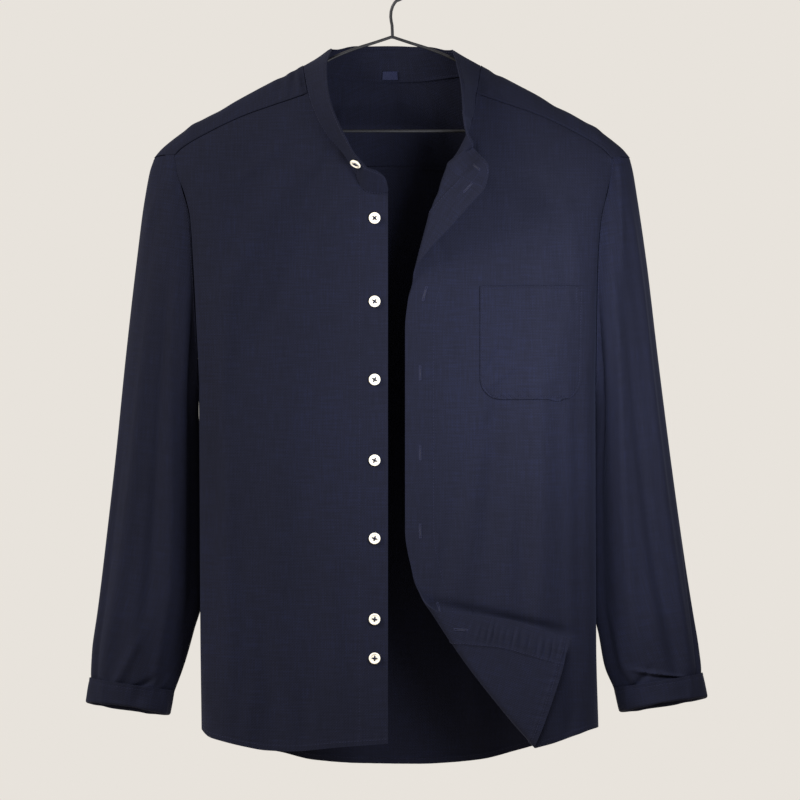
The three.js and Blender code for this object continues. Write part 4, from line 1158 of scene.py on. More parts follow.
@dataclass
class Sleeve:
    """One long set-in sleeve, narrowing to its turned-up end."""

    side: Side
    rows: list[tuple[float, ...]]
    creases: list[Crease]
    around: int = 132
    count: int = 150
    blend: float = 0.4
    girth: float = 400.0
    long: float = 560.0

    def flat_cut(self, points: Array) -> Array:
        """Places on the flat cut: across from the sleeve's middle line, and up from its straight end."""
        down = np.linalg.norm(np.diff(points, axis=0), axis=-1)
        v = np.concatenate([np.cumsum(down[::-1], axis=0)[::-1], np.zeros((1, points.shape[1]))])
        slant = np.linalg.norm(np.roll(points, -1, axis=1) - points, axis=-1)
        over = np.sqrt(np.maximum(slant ** 2 - (np.roll(v, -1, axis=1) - v) ** 2, 0.04))
        u = np.cumsum(over, axis=1) - over - over.sum(axis=1, keepdims=True) / 2
        return np.stack([u, v], axis=-1)

    def armhole(self, yoke: Shoulders) -> Array:
        """Closed line of the armhole: shoulder's tip, down the front, armpit, up the back.

        Args:
            yoke: the yoke, for its nose.

        Returns:
            One point for each place around.
        """
        size = yoke.ends(self.side)
        sign = self.side.value
        start, end = size["from"], size["to"]
        thirds = [lerp(-9.0, end, k / 3) for k in (1, 2)]
        overs = np.array([0.5, 9, (start + 9) / 2, start])
        nose = FORM.over_shoulder(sign * yoke.nose(self.side, overs), overs)
        overs = np.array([end, thirds[1], thirds[0], -9.0])
        rear = FORM.over_shoulder(sign * yoke.nose(self.side, overs), overs)
        heights = np.linspace(FORM.yoke_end_z, FORM.armpit_z, 9)[1:-1]
        front = FORM.front(sign * (FORM.edge_out[self.side](heights) - 0.02), heights)
        heights = np.linspace(float(FORM.yoke_back_seam(222.0)), FORM.armpit_z, 8)[1:-1]
        back = FORM.back(sign * FORM.edge_out[self.side](heights), heights)
        pit = np.array([[sign * FORM.edge_out[self.side](np.float64(FORM.armpit_z)), 0, FORM.armpit_z]])
        loop = np.concatenate([nose, front, pit, back[::-1], rear])
        count = len(loop)
        place = np.arange(self.around) / self.around * count
        i = place.astype(int)
        t = (place - i)[:, None]
        a, b, c, d = (loop[(i + k) % count] for k in (-1, 0, 1, 2))
        return b + 0.5 * t * (c - a + t * (2 * a - 5 * b + 4 * c - d + t * (3 * (b - c) + d - a)))

    def section(self, step: Array, angle: Array) -> Array:
        """Points of the plain sleeve at steps down it and angles round it."""
        table = np.array(self.rows)
        outer_x, outer_z, inner_x, inner_z, deep, rear = (
            Curve(list(zip(table[:, 0], table[:, k])))(step)[:, None] for k in range(1, 7))
        sign = self.side.value
        middle_x, middle_z = (outer_x + inner_x) / 2, (outer_z + inner_z) / 2
        x = sign * (middle_x + (outer_x - inner_x) / 2 * np.cos(angle))
        z = middle_z + (outer_z - inner_z) / 2 * np.cos(angle)
        return np.stack([x, rear - deep * np.sin(angle), z], axis=-1)

    def sheet(self, yoke: Shoulders) -> ClothSheet:
        """Lay the sleeve out from the armhole to its end."""
        sign = self.side.value
        loop = self.armhole(yoke)
        angle = 2 * np.pi * np.arange(self.around) / self.around
        high = (1 + np.cos(angle)) / 2
        start = loop + np.stack([np.full_like(high, sign * 0.6), 0 * high, -0.6 * high], axis=1)
        place = stations(self.long, self.long / self.count, [(0, 8), (self.long - 12, self.long)])
        step = place ** 0.9 * 10
        hold = np.maximum(0, 1 - step / (self.blend * 10)) ** 2
        offset = start - self.section(np.zeros(1), angle)
        points = self.section(step, angle) + offset * hold[:, None, None]
        sheet = ClothSheet(f"{self.side.word}_sleeve_cloth", points, self.flat_cut(points), 1.0, True)
        sheet.face(60, 0, (sign, 0, 0))
        u, v = np.broadcast_arrays(angle / (2 * np.pi) * self.girth, -self.long * place[:, None])
        relief = creased(self.creases, u, v)
        relief += creased(self.creases, u - self.girth, v) + creased(self.creases, u + self.girth, v)
        turned = 2 * np.pi * u / self.girth
        relief += 0.5 * np.sin(3 * turned + v / 120) * np.sin(v / 71 + 1.0) + 0.25 * np.sin(7 * turned + v / 47)
        beside = np.exp(-((turned - np.pi) / 0.45) ** 2)
        relief = relief * (1 - beside) + 3.4 * beside
        relief -= 7.0 * np.exp(-((turned - 0.84 * np.pi) / 0.3) ** 2) * ease(v + self.long, 330)
        relief = relief * ease(-v, 22) * ease(v + self.long, 10)
        relief += pucker(-v, u, 1.0 + sign, 0.22, 6) * ease(-v, 1.5)
        relief += pucker(v + self.long, u, 3.0 + sign, 0.3, 12) * ease(v + self.long, 3)
        sheet.relieve(relief)
        return sheet


@dataclass
class Cuff:
    """The sleeve's end turned up on itself: an inner layer, a soft fold below and a free edge above."""

    side: Side
    creases: list[Crease]
    height: float = 27.0
    apart: float = 5.0
    inner: float = 14.5
    back_dip: float = 0.12

    def sheet(self, sleeve: ClothSheet) -> ClothSheet:
        """Lay the cuff out round the sleeve's end.

        Args:
            sleeve: the finished sleeve.

        Returns:
            The cuff, whose rows run up inside, round the fold and up outside.
        """
        end = sleeve.points[-1]
        middle = end.mean(axis=0)
        down = middle - sleeve.points[-42].mean(axis=0)
        down[1] = 0
        down = unit(down)
        radius = self.apart / 2
        turn = np.linspace(0, np.pi, 11)
        out = np.concatenate([np.zeros(12), radius * (1 - np.cos(turn)), np.full(23, self.apart)])
        low = np.concatenate([
            np.linspace(0.3, self.inner, 13)[:-1], self.inner + radius * np.sin(turn),
            np.linspace(self.inner, self.inner - self.height + radius, 24)[1:],
        ])
        spread = unit(end - middle)
        dip = (end[:, 1] - middle[1]) * self.back_dip
        fall = low[:, None] + dip * np.clip(low / self.inner, 0, 1)[:, None]
        points = end + spread * out[:, None, None] + down * fall[..., None]
        count = end.shape[0]
        far = np.concatenate([[0], np.cumsum(np.hypot(np.diff(out), np.diff(low)))])
        girth = float(np.linalg.norm(np.diff(end, axis=0), axis=1).sum())
        u = np.arange(count) / count * girth
        cut = np.stack(np.broadcast_arrays(u, -far[:, None]), axis=-1).copy()
        sheet = ClothSheet(f"{self.side.word}_cuff_cloth", points, cut, 1.0, True, 1.0)
        sheet.face(-8, 0, (self.side.value, 0, 0))
        v = cut[..., 1]
        from_top = v + far[-1]
        outer = ease(-v - self.inner, 6)
        relief = creased(self.creases, cut[..., 0], from_top) * outer
        relief += (0.5 * np.sin(u / 17 + from_top / 9) + 0.3 * np.sin(u / 7.5 + 2.0 + from_top / 14)) * outer
        relief += sewn_edge(from_top, 5.5, 0.25, 0.35) * outer + pucker(from_top - 4, u, 2.0, 0.3, 4) * outer
        sheet.relieve(relief)
        return sheet


@dataclass
class StandCollar:
    """The mandarin collar: a plain band sewn to the neck, with rounded ends, its left end turned out."""

    height: float = 35.0
    end_round: float = 22.0
    end_height: float = 0.16
    back_rise: float = 3.0
    seam: float = -0.6
    step: float = 2.0
    stance: tuple[tuple[float, float, float, float], ...] = (
        (0, 0.03, -0.72, 0.7), (0.02, 0.07, -0.72, 0.7), (0.045, 0.1, -0.74, 0.66),
        (0.068, 0.1, -0.85, 0.5),
        (0.09, 0.1, -0.93, 0.33), (0.117, 0.19, -0.96, 0.19), (0.16, 0.42, -0.9, 0.16),
        (0.24, 0.6, -0.79, 0.15),
        (0.285, 0.67, -0.7, 0.24), (0.307, 0.75, -0.58, 0.31), (0.326, 0.83, -0.08, 0.56),
        (0.364, 0.68, -0.1, 0.72), (0.42, 0.38, -0.1, 0.92), (0.5, 0, -0.12, 0.99),
        (0.58, -0.38, -0.1, 0.92),
        (0.64, -0.68, -0.1, 0.72), (0.677, -0.83, -0.08, 0.56), (0.696, -0.77, -0.58, 0.29),
        (0.717, -0.69, -0.7, 0.15), (0.761, -0.45, -0.87, 0.2), (0.8, -0.33, -0.94, 0.08),
        (0.832, -0.14, -0.97, 0.2), (0.86, 0.15, -0.92, 0.36), (0.88, 0.42, -0.79, 0.45),
        (0.9, 0.72, -0.43, 0.54), (0.92, 0.8, -0.15, 0.56), (0.94, 0.62, -0.34, 0.56),
        (0.96, 0.48, -0.52, 0.54),
        (0.98, 0.36, -0.56, 0.56), (1, 0.2, -0.5, 0.64),
    )
    creases: tuple[Crease, ...] = (
        Crease(46, 18, 44, 3.0, -0.9, 84), Crease(31, 16, 40, 2.6, 0.6, 95),
        Crease(120, 20, 50, 7, 0.5, 20),
        Crease(300, 17, 60, 9, 0.5, 8), Crease(392, 16, 46, 5, -0.7, 70), Crease(418, 20, 40, 5, 0.8, 102),
        Crease(452, 17, 44, 5, 0.8, 78), Crease(486, 18, 50, 4, -1.0, 96), Crease(512, 16, 44, 4, 0.9, 80),
        Crease(540, 20, 50, 4.5, -0.8, 104), Crease(566, 16, 40, 4, 0.7, 88),
    )
    total: float = field(init=False, default=0.0)

    def neck_line(self, right: Front, left: Front, yoke: Shoulders) -> Array:
        """Seam from the right front's corner round the back to the left front's corner, evenly spaced."""
        pieces = []
        for front in (right, left):
            start = 4.2 if front.side is Side.RIGHT else 1.0
            out = np.linspace(start, FORM.neck_corner, 80)
            x, z = front.side.value * out, front.neck(out) - HALF_GAP
            pieces.append((FORM.turned if front.side is Side.LEFT else FORM.front)(x, z))
        shoulder, half = yoke.coarse + 4, yoke.coarse + 4 + yoke.neck_steps
        x, over = yoke.grid(np.linspace(shoulder, 2 * half - shoulder, 240), np.zeros(1))
        line = np.concatenate([pieces[0][:-1], FORM.over_shoulder(x[0], over[0]), pieces[1][:-1][::-1]])
        far = np.concatenate([[0], np.cumsum(np.linalg.norm(np.diff(line, axis=0), axis=1))])
        self.total = float(far[-1])
        even = np.linspace(0, self.total, int(self.total / self.step) + 1)
        return np.stack([np.interp(even, far, line[:, k]) for k in range(3)], axis=1)

    def sheet(self, line: Array) -> ClothSheet:
        """Stand the band on the neck seam.

        Args:
            line: the seam.

        Returns:
            The band, whose rows run up from the seam.
        """
        table = np.array(self.stance)
        share = np.linspace(0, 1, len(line))
        kernel = np.hanning(9) / np.hanning(9).sum()
        smooth = np.stack([np.convolve(np.pad(line[:, k], 4, mode="reflect", reflect_type="odd"), kernel, "valid")
                           for k in range(3)], axis=1)
        line = lerp(line, smooth, 0.8)
        direction = np.stack([Curve(list(zip(table[:, 0], table[:, k])))(share) for k in (1, 2, 3)], axis=1)
        soft = np.hanning(17) / np.hanning(17).sum()
        direction = unit(np.stack([np.convolve(np.pad(direction[:, k], 8, mode="edge"), soft, "valid")
                                   for k in range(3)], axis=1))
        far = share * self.total
        to_end = np.minimum(far, self.total - far)
        rounding = np.sqrt(1 - (1 - np.clip(to_end / self.end_round, 0, 1)) ** 2)
        height = self.height * lerp(self.end_height, 1, rounding)
        height = height + self.back_rise * np.exp(-((share - 0.5) / 0.17) ** 4)
        up = stations(self.height, 1.6, [(0, 4), (self.height - 5, self.height)])
        points = line + direction * (self.seam + height * up[:, None])[..., None]
        cut = np.stack(np.broadcast_arrays(far, height * up[:, None]), axis=-1).copy()
        sheet = ClothSheet("collar_band_cloth", points, cut, 1.0, False, 1.3)
        sheet.face(8, len(line) // 2, (0, 1, 0))
        u, v = cut[..., 0], cut[..., 1]
        top = height - v
        inward = np.minimum(top, np.minimum(v + 2, to_end[None, :]))
        relief = (creased(list(self.creases), u, v) + 0.25 * np.sin(u / 13 + v / 7)) * ease(inward, 5)
        relief += 0.25 * ease(inward, 2.4) - 0.35 * np.exp(-((inward - 2.6) / 0.9) ** 2)
        relief += pucker(inward - 2.6, u, 3.3, 0.16, 4)
        sheet.relieve(relief)
        return sheet


@dataclass
class ChestPocket:
    """Patch pocket on the left front: folded-in top edge, rounded lower corners, sewn round three sides."""

    near: float = 92.4
    far: float = 199.6
    top: float = -338.6
    bottom: float = -457.0
    corner: float = 22.0
    lift: float = 1.5
    hem_fold: float = 27.5
    creases: tuple[Crease, ...] = (
        Crease(116, -432, 46, 4, 0.8, 40), Crease(104, -418, 34, 3, -0.7, 58),
        Crease(150, -440, 60, 6, 0.6, 8),
        Crease(176, -400, 70, 7, 0.7, 82), Crease(128, -352, 60, 6, -0.5, 4),
        Crease(186, -352, 26, 3, 0.6, 96),
    )

    def sheet(self, front: Front) -> ClothSheet:
        """Lay the pocket on the front.

        Args:
            front: the front that it is sewn to.
        """
        rows = stations(self.top - self.bottom, 1.7, [(0, 4), (24, 30), (112, 119)])
        columns = stations(self.far - self.near, 1.8, [(0, 5), (102, 108)])
        z = self.top - rows[:, None] * (self.top - self.bottom - 0.02)
        low = np.clip((self.bottom + self.corner - z) / self.corner, 0, 1)
        inward = self.corner * (1 - np.sqrt(1 - low ** 2)) * 0.96
        x = lerp(self.near + inward, self.far - inward, columns[None, :])
        z = np.broadcast_to(z, x.shape)
        sheet = ClothSheet("chest_pocket_cloth", FORM.front(x, z), np.stack([x, z], axis=-1))
        sheet.face(len(rows) // 2, len(columns) // 2, (0, -1, 0))
        below, beside = z - self.bottom, np.minimum(x - self.near - inward, self.far - inward - x)
        inner = np.minimum(below, beside)
        relief = self.lift + front.loose(x, z) + creased(list(self.creases), x, z) * ease(inner, 10)
        relief += 0.45 * ease(inner, 2.0) - 0.6 * np.exp(-((inner - 2.4) / 0.9) ** 2)
        relief += pucker(inner - 2.2, x + z, 1.3, 0.45, 5) * ease(inner, 1)
        relief += sewn_edge(self.top - z, self.hem_fold, 0.3, 0.3)
        relief += 0.8 * ease(3 - (self.top - z), 3) * ease(beside, 14)
        sheet.relieve(relief)
        return sheet


@dataclass
class ShirtButton:
    """A four-hole button with a rounded rim and a dished middle, sewn on through a cross of thread."""

    radius: float = 6.0
    thick: float = 2.6
    dish: float = 0.8
    hole: float = 0.75
    hole_out: float = 1.35
    sides: int = 56

    def blank(self, material: bpy.types.Material) -> tuple[Array, list[tuple[int, ...]]]:
        """Turn the button, and drill its holes.

        Args:
            material: its plastic, for the working mesh.

        Returns:
            Points in millimetres, with the back at 0 and the face at +Z, and faces.
        """
        r, t = self.radius, self.thick
        profile = [(0.0, 0.15), (r * 0.5, 0.05), (r - 1.0, 0.0), (r - 0.35, 0.22), (r - 0.06, 0.8), (r, t * 0.55),
                   (r - 0.12, t - 0.5), (r - 0.45, t - 0.12), (r - 0.85, t), (r - 1.3, t - 0.08),
                   (r - 1.75, t - 0.45), (r - 2.2, t - self.dish), (r * 0.3, t - self.dish - 0.05),
                   (0.0, t - self.dish - 0.05)]
        turns = 2 * np.pi * np.arange(self.sides) / self.sides
        points, faces = [(0.0, 0.0, profile[0][1])], []
        for out, up in profile[1:-1]:
            points += [(out * math.cos(a), out * math.sin(a), up) for a in turns]
        points.append((0.0, 0.0, profile[-1][1]))
        n, rings = self.sides, len(profile) - 2
        for k in range(n):
            nxt = (k + 1) % n
            faces.append((0, 1 + nxt, 1 + k))
            faces.append((len(points) - 1, 1 + (rings - 1) * n + k, 1 + (rings - 1) * n + nxt))
            for ring in range(rings - 1):
                a = 1 + ring * n
                faces.append((a + k, a + nxt, a + n + nxt, a + n + k))
        blank = write_mesh("button_blank", np.array(points), faces, material)
        drills = []
        for quarter in range(4):
            angle = math.pi / 4 + quarter * math.pi / 2
            ring = [(self.hole * math.cos(a), self.hole * math.sin(a)) for a in np.linspace(0, 2 * np.pi, 15)[:-1]]
            centre = (self.hole_out * math.cos(angle), self.hole_out * math.sin(angle))
            corners = [(centre[0] + x, centre[1] + y, z) for z in (-1.0, 4.0) for x, y in ring]
            walls = [(k, (k + 1) % 14, 14 + (k + 1) % 14, 14 + k) for k in range(14)]
            drill = write_mesh(f"drill_{quarter}", np.array(corners),
                               walls + [tuple(range(13, -1, -1)), tuple(range(14, 28))], material)
            cut = blank.modifiers.new("hole", "BOOLEAN")
            cut.object, cut.operation, cut.solver = drill, "DIFFERENCE", "EXACT"
            drills.append(drill)
        done = blank.evaluated_get(bpy.context.evaluated_depsgraph_get()).to_mesh()
        points = np.array([v.co[:] for v in done.vertices]) / MM
        faces = [tuple(p.vertices) for p in done.polygons]
        for thing in [blank, *drills]:
            bpy.data.objects.remove(thing)
        return points, faces

    def frame(self, normal: Array) -> Array:
        """Turning that stands the button's face along a direction, with its holes square to the shirt."""
        side = unit(np.cross(np.array([0.0, 0.0, 1.0]), normal))
        return np.stack([side, np.cross(normal, side), normal], axis=1)

    def sew(self, name: str, node: str, place: Array, normal: Array, shape: tuple[Array, list[tuple[int, ...]]],
            plastic: bpy.types.Material, threads: Stitching, spin: float) -> None:
        """Set one button on the cloth, with its thread.

        Args:
            name: the piece's name.
            node: the solid that it stands for.
            place: middle of its back.
            normal: direction away from the cloth.
            shape: points and faces of the blank.
            plastic: its finish.
            threads: sewing that gets the cross.
            spin: turn of the holes in degrees.
        """
        turn = self.frame(normal)
        c, s = math.cos(math.radians(spin)), math.sin(math.radians(spin))
        turn = turn @ np.array([[c, -s, 0], [s, c, 0], [0, 0, 1]])
        piece = write_mesh(name, shape[0] @ turn.T + place, shape[1], plastic, None, 35.0)
        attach(piece, "root")
        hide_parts(node)
        level = self.thick - self.dish + 0.1
        for k in (0, 1):
            slant = math.pi / 4 + k * math.pi / 2
            along = turn @ np.array([math.cos(slant), math.sin(slant), 0])
            centre = place + normal * (level + 0.25 + 0.22 * k)
            threads.lay(centre[None], along[None], normal[None], 2 * self.hole_out + 4.6, 0.8)


@dataclass
class WireHanger:
    """Hanger of drawn wire: hook and stem in one length, arms and crossbar in another."""

    radius: float = 1.6
    sides: int = 14
    hook: float = 19.6
    hook_end: float = 205.0
    neck_z: float = -75.0
    bar_z: float = -174.3
    half: float = 201.0

    def arm(self, out: Array) -> Array:
        """Height of the arm's middle at a distance out."""
        under = FORM.shoulder_line(out) - (1.2 + 0.3 + self.radius + 0.6) / math.cos(math.pi / 6)
        reach = [float(FORM.shoulder_line(np.float64(o))) - 3.7 / math.cos(math.pi / 6) for o in (92, 110)]
        free = Curve([(0, self.neck_z), (18, -81), (42, -88.7), (65, -98.5), (92, reach[0] - 5), (110, reach[1] - 1)])
        return lerp(free(out), under, ease(out - 96, 14))

    def tube(self, path: Array, closed: bool) -> tuple[Array, list[tuple[int, ...]]]:
        """Sweep the wire along a path in the shirt's middle plane.

        Args:
            path: X and Z of its middle.
            closed: True where the ends join.

        Returns:
            Points and faces.
        """
        count = len(path)
        if closed:
            ahead = unit(np.roll(path, -1, axis=0) - np.roll(path, 1, axis=0))
        else:
            ahead = unit(np.gradient(path, axis=0))
        across = np.stack([ahead[:, 1], -ahead[:, 0]], axis=1)
        turns = 2 * np.pi * np.arange(self.sides) / self.sides
        flat = path[:, None] + across[:, None] * (self.radius * np.cos(turns))[None, :, None]
        deep = np.broadcast_to(self.radius * np.sin(turns), flat.shape[:2])
        points = np.stack([flat[..., 0], deep, flat[..., 1]], axis=-1).reshape(-1, 3)
        n, faces = self.sides, []
        for i in range(count if closed else count - 1):
            for k in range(n):
                a, b = i * n, ((i + 1) % count) * n
                faces.append((a + k, a + (k + 1) % n, b + (k + 1) % n, b + k))
        if not closed:
            faces += [tuple(range(n - 1, -1, -1)), tuple((count - 1) * n + k for k in range(n))]
        return points, faces

    def build(self, material: bpy.types.Material) -> None:
        """Make the hanger.

        Args:
            material: its lacquered wire.
        """
        out = np.concatenate([np.linspace(0.5, 100, 50), np.linspace(102, 196, 47)])
        side = np.stack([out, self.arm(out)], axis=1)
        drop = self.bar_z
        bend = np.array([[self.half - 1.4, drop + 5.6], [self.half - 0.2, drop + 3.4], [self.half - 0.6, drop + 1.6],
                         [self.half - 2.2, drop + 0.5], [self.half - 4.6, drop]])
        bar = np.stack([np.linspace(self.half - 8, 8 - self.half, 120), np.full(120, drop)], axis=1)
        mirror = np.array([-1.0, 1.0])
        loop = np.concatenate([side, bend, bar, (bend * mirror)[::-1], (side * mirror)[::-1]])
        angle = np.radians(np.linspace(-90 + 14, self.hook_end, 64))
        centre = self.radius - self.hook
        round_part = np.stack([self.hook * np.cos(angle), centre + self.hook * np.sin(angle)], axis=1)
        stem = np.array([[0.5, self.neck_z - 2], [0.35, self.neck_z + 5], [0.0, self.neck_z + 12], [-0.8, -59],
                         [-1.4, -54], [-1.0, -48], [0.6, -43], [2.6, -39.4]])
        hook = np.concatenate([stem, round_part])
        points_a, faces_a = self.tube(loop, True)
        points_b, faces_b = self.tube(hook, False)
        faces = faces_a + [tuple(len(points_a) + k for k in face) for face in faces_b]
        piece = write_mesh("hanger_wire", np.concatenate([points_a, points_b]), faces, material)
        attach(piece, "root")
        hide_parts("hanger")


@dataclass
class Studio:
    """Plain pale room: a long lens square to the shirt, one large soft light from the upper left, a low floor."""

    world: str = "#e8e3dc"
    distance: float = 8.0
    width: float = 0.84
    centre: tuple[float, float] = (0.0084, -0.4578)
    floor_z: float = -1.75
    key_watts: float = 235.0
    pool_watts: float = 7.5

    def light(self, name: str, place: tuple[float, float, float], aim: tuple[float, float, float], size: float,
              watts: float, tint: tuple[float, float, float] = (1.0, 0.985, 0.96)) -> None:
        """Add one square light.

        Args:
            name: the light's name.
            place: where it stands, in metres.
            aim: point that it faces.
            size: its side.
            watts: its power.
            tint: its colour.
        """
        lamp = bpy.data.lights.new(name, "AREA")
        lamp.size, lamp.energy = size, watts
        lamp.color = tint
        thing = bpy.data.objects.new(name, lamp)
        thing.location = place
        thing.rotation_euler = (Vector(aim) - Vector(place)).to_track_quat("-Z", "Y").to_euler()
        thing.visible_camera = False
        bpy.context.scene.collection.objects.link(thing)

    def build(self) -> None:
        """Set the camera, the lights, the air and the floor."""
        scene = bpy.context.scene
        scene.view_settings.view_transform = "Standard"
        camera = bpy.data.cameras.new("camera")
        camera.sensor_width = 36.0
        camera.lens = 36.0 * (self.distance - 0.03) / self.width
        camera.clip_end = 100.0
        thing = bpy.data.objects.new("camera", camera)
        thing.location = (self.centre[0], -self.distance, self.centre[1])
        thing.rotation_euler = (math.pi / 2, 0, 0)
        scene.collection.objects.link(thing)
        scene.camera = thing
        self.light("key_light", (-2.6, -1.35, 1.3), (0.0, 0.0, -0.42), 1.2, self.key_watts)
        self.light("near_light", (0.25, -0.42, -0.37), (0.17, 0.0, -0.43), 0.25, self.pool_watts,
                   (0.88, 0.92, 1.0))
        air = bpy.data.worlds.new("pale_room")
        air.use_nodes = True
        back = air.node_tree.nodes["Background"]
        back.inputs["Color"].default_value = hex_colour(self.world)
        back.inputs["Strength"].default_value = 1.0
        scene.world = air
        corners = np.array([(-6, -9, 0), (6, -9, 0), (6, 6, 0), (-6, 6, 0)], float) * 1000
        corners[:, 2] = self.floor_z / MM
        floor = write_mesh("studio_floor", corners, [(0, 1, 2, 3)], RolledVinyl().build())


RIGHT_SLEEVE = [
    (0, 251.3, -205, 204.3, -442, 29, 0), (1, 255.5, -216, 206.5, -452, 33, 3),
    (2, 262, -251, 207, -472, 37, 9),
    (3, 270, -316, 205.5, -506, 40, 18), (4, 281, -414, 203, -556, 42, 24),
    (5, 291.5, -515, 202, -612, 42, 25),
    (6, 303, -612, 203, -664, 40, 22), (7, 311, -678, 212, -700, 37, 17),
    (8, 316.5, -722, 222, -735, 31, 13),
    (9, 317.5, -748, 231.5, -761, 26.8, 10), (10, 315.5, -761, 236, -773, 25.5, 9),
]
LEFT_SLEEVE = [
    (0, 251.3, -205, 215, -442, 29, 0), (1, 254.5, -217, 217, -452, 33, 3),
    (2, 260, -251, 217.5, -472, 37, 9),
    (3, 269, -316, 216, -506, 40, 18), (4, 280.5, -414, 213.5, -556, 42, 24),
    (5, 293.5, -515, 213, -612, 42, 25),
    (6, 307.5, -612, 215, -672, 40, 22), (7, 317.5, -678, 221.5, -706, 37, 17),
    (8, 323.5, -718, 227.5, -738, 31, 13),
    (9, 326, -743, 235.5, -757, 26.8, 10), (10, 324.5, -756, 241, -770, 25.5, 9),
]


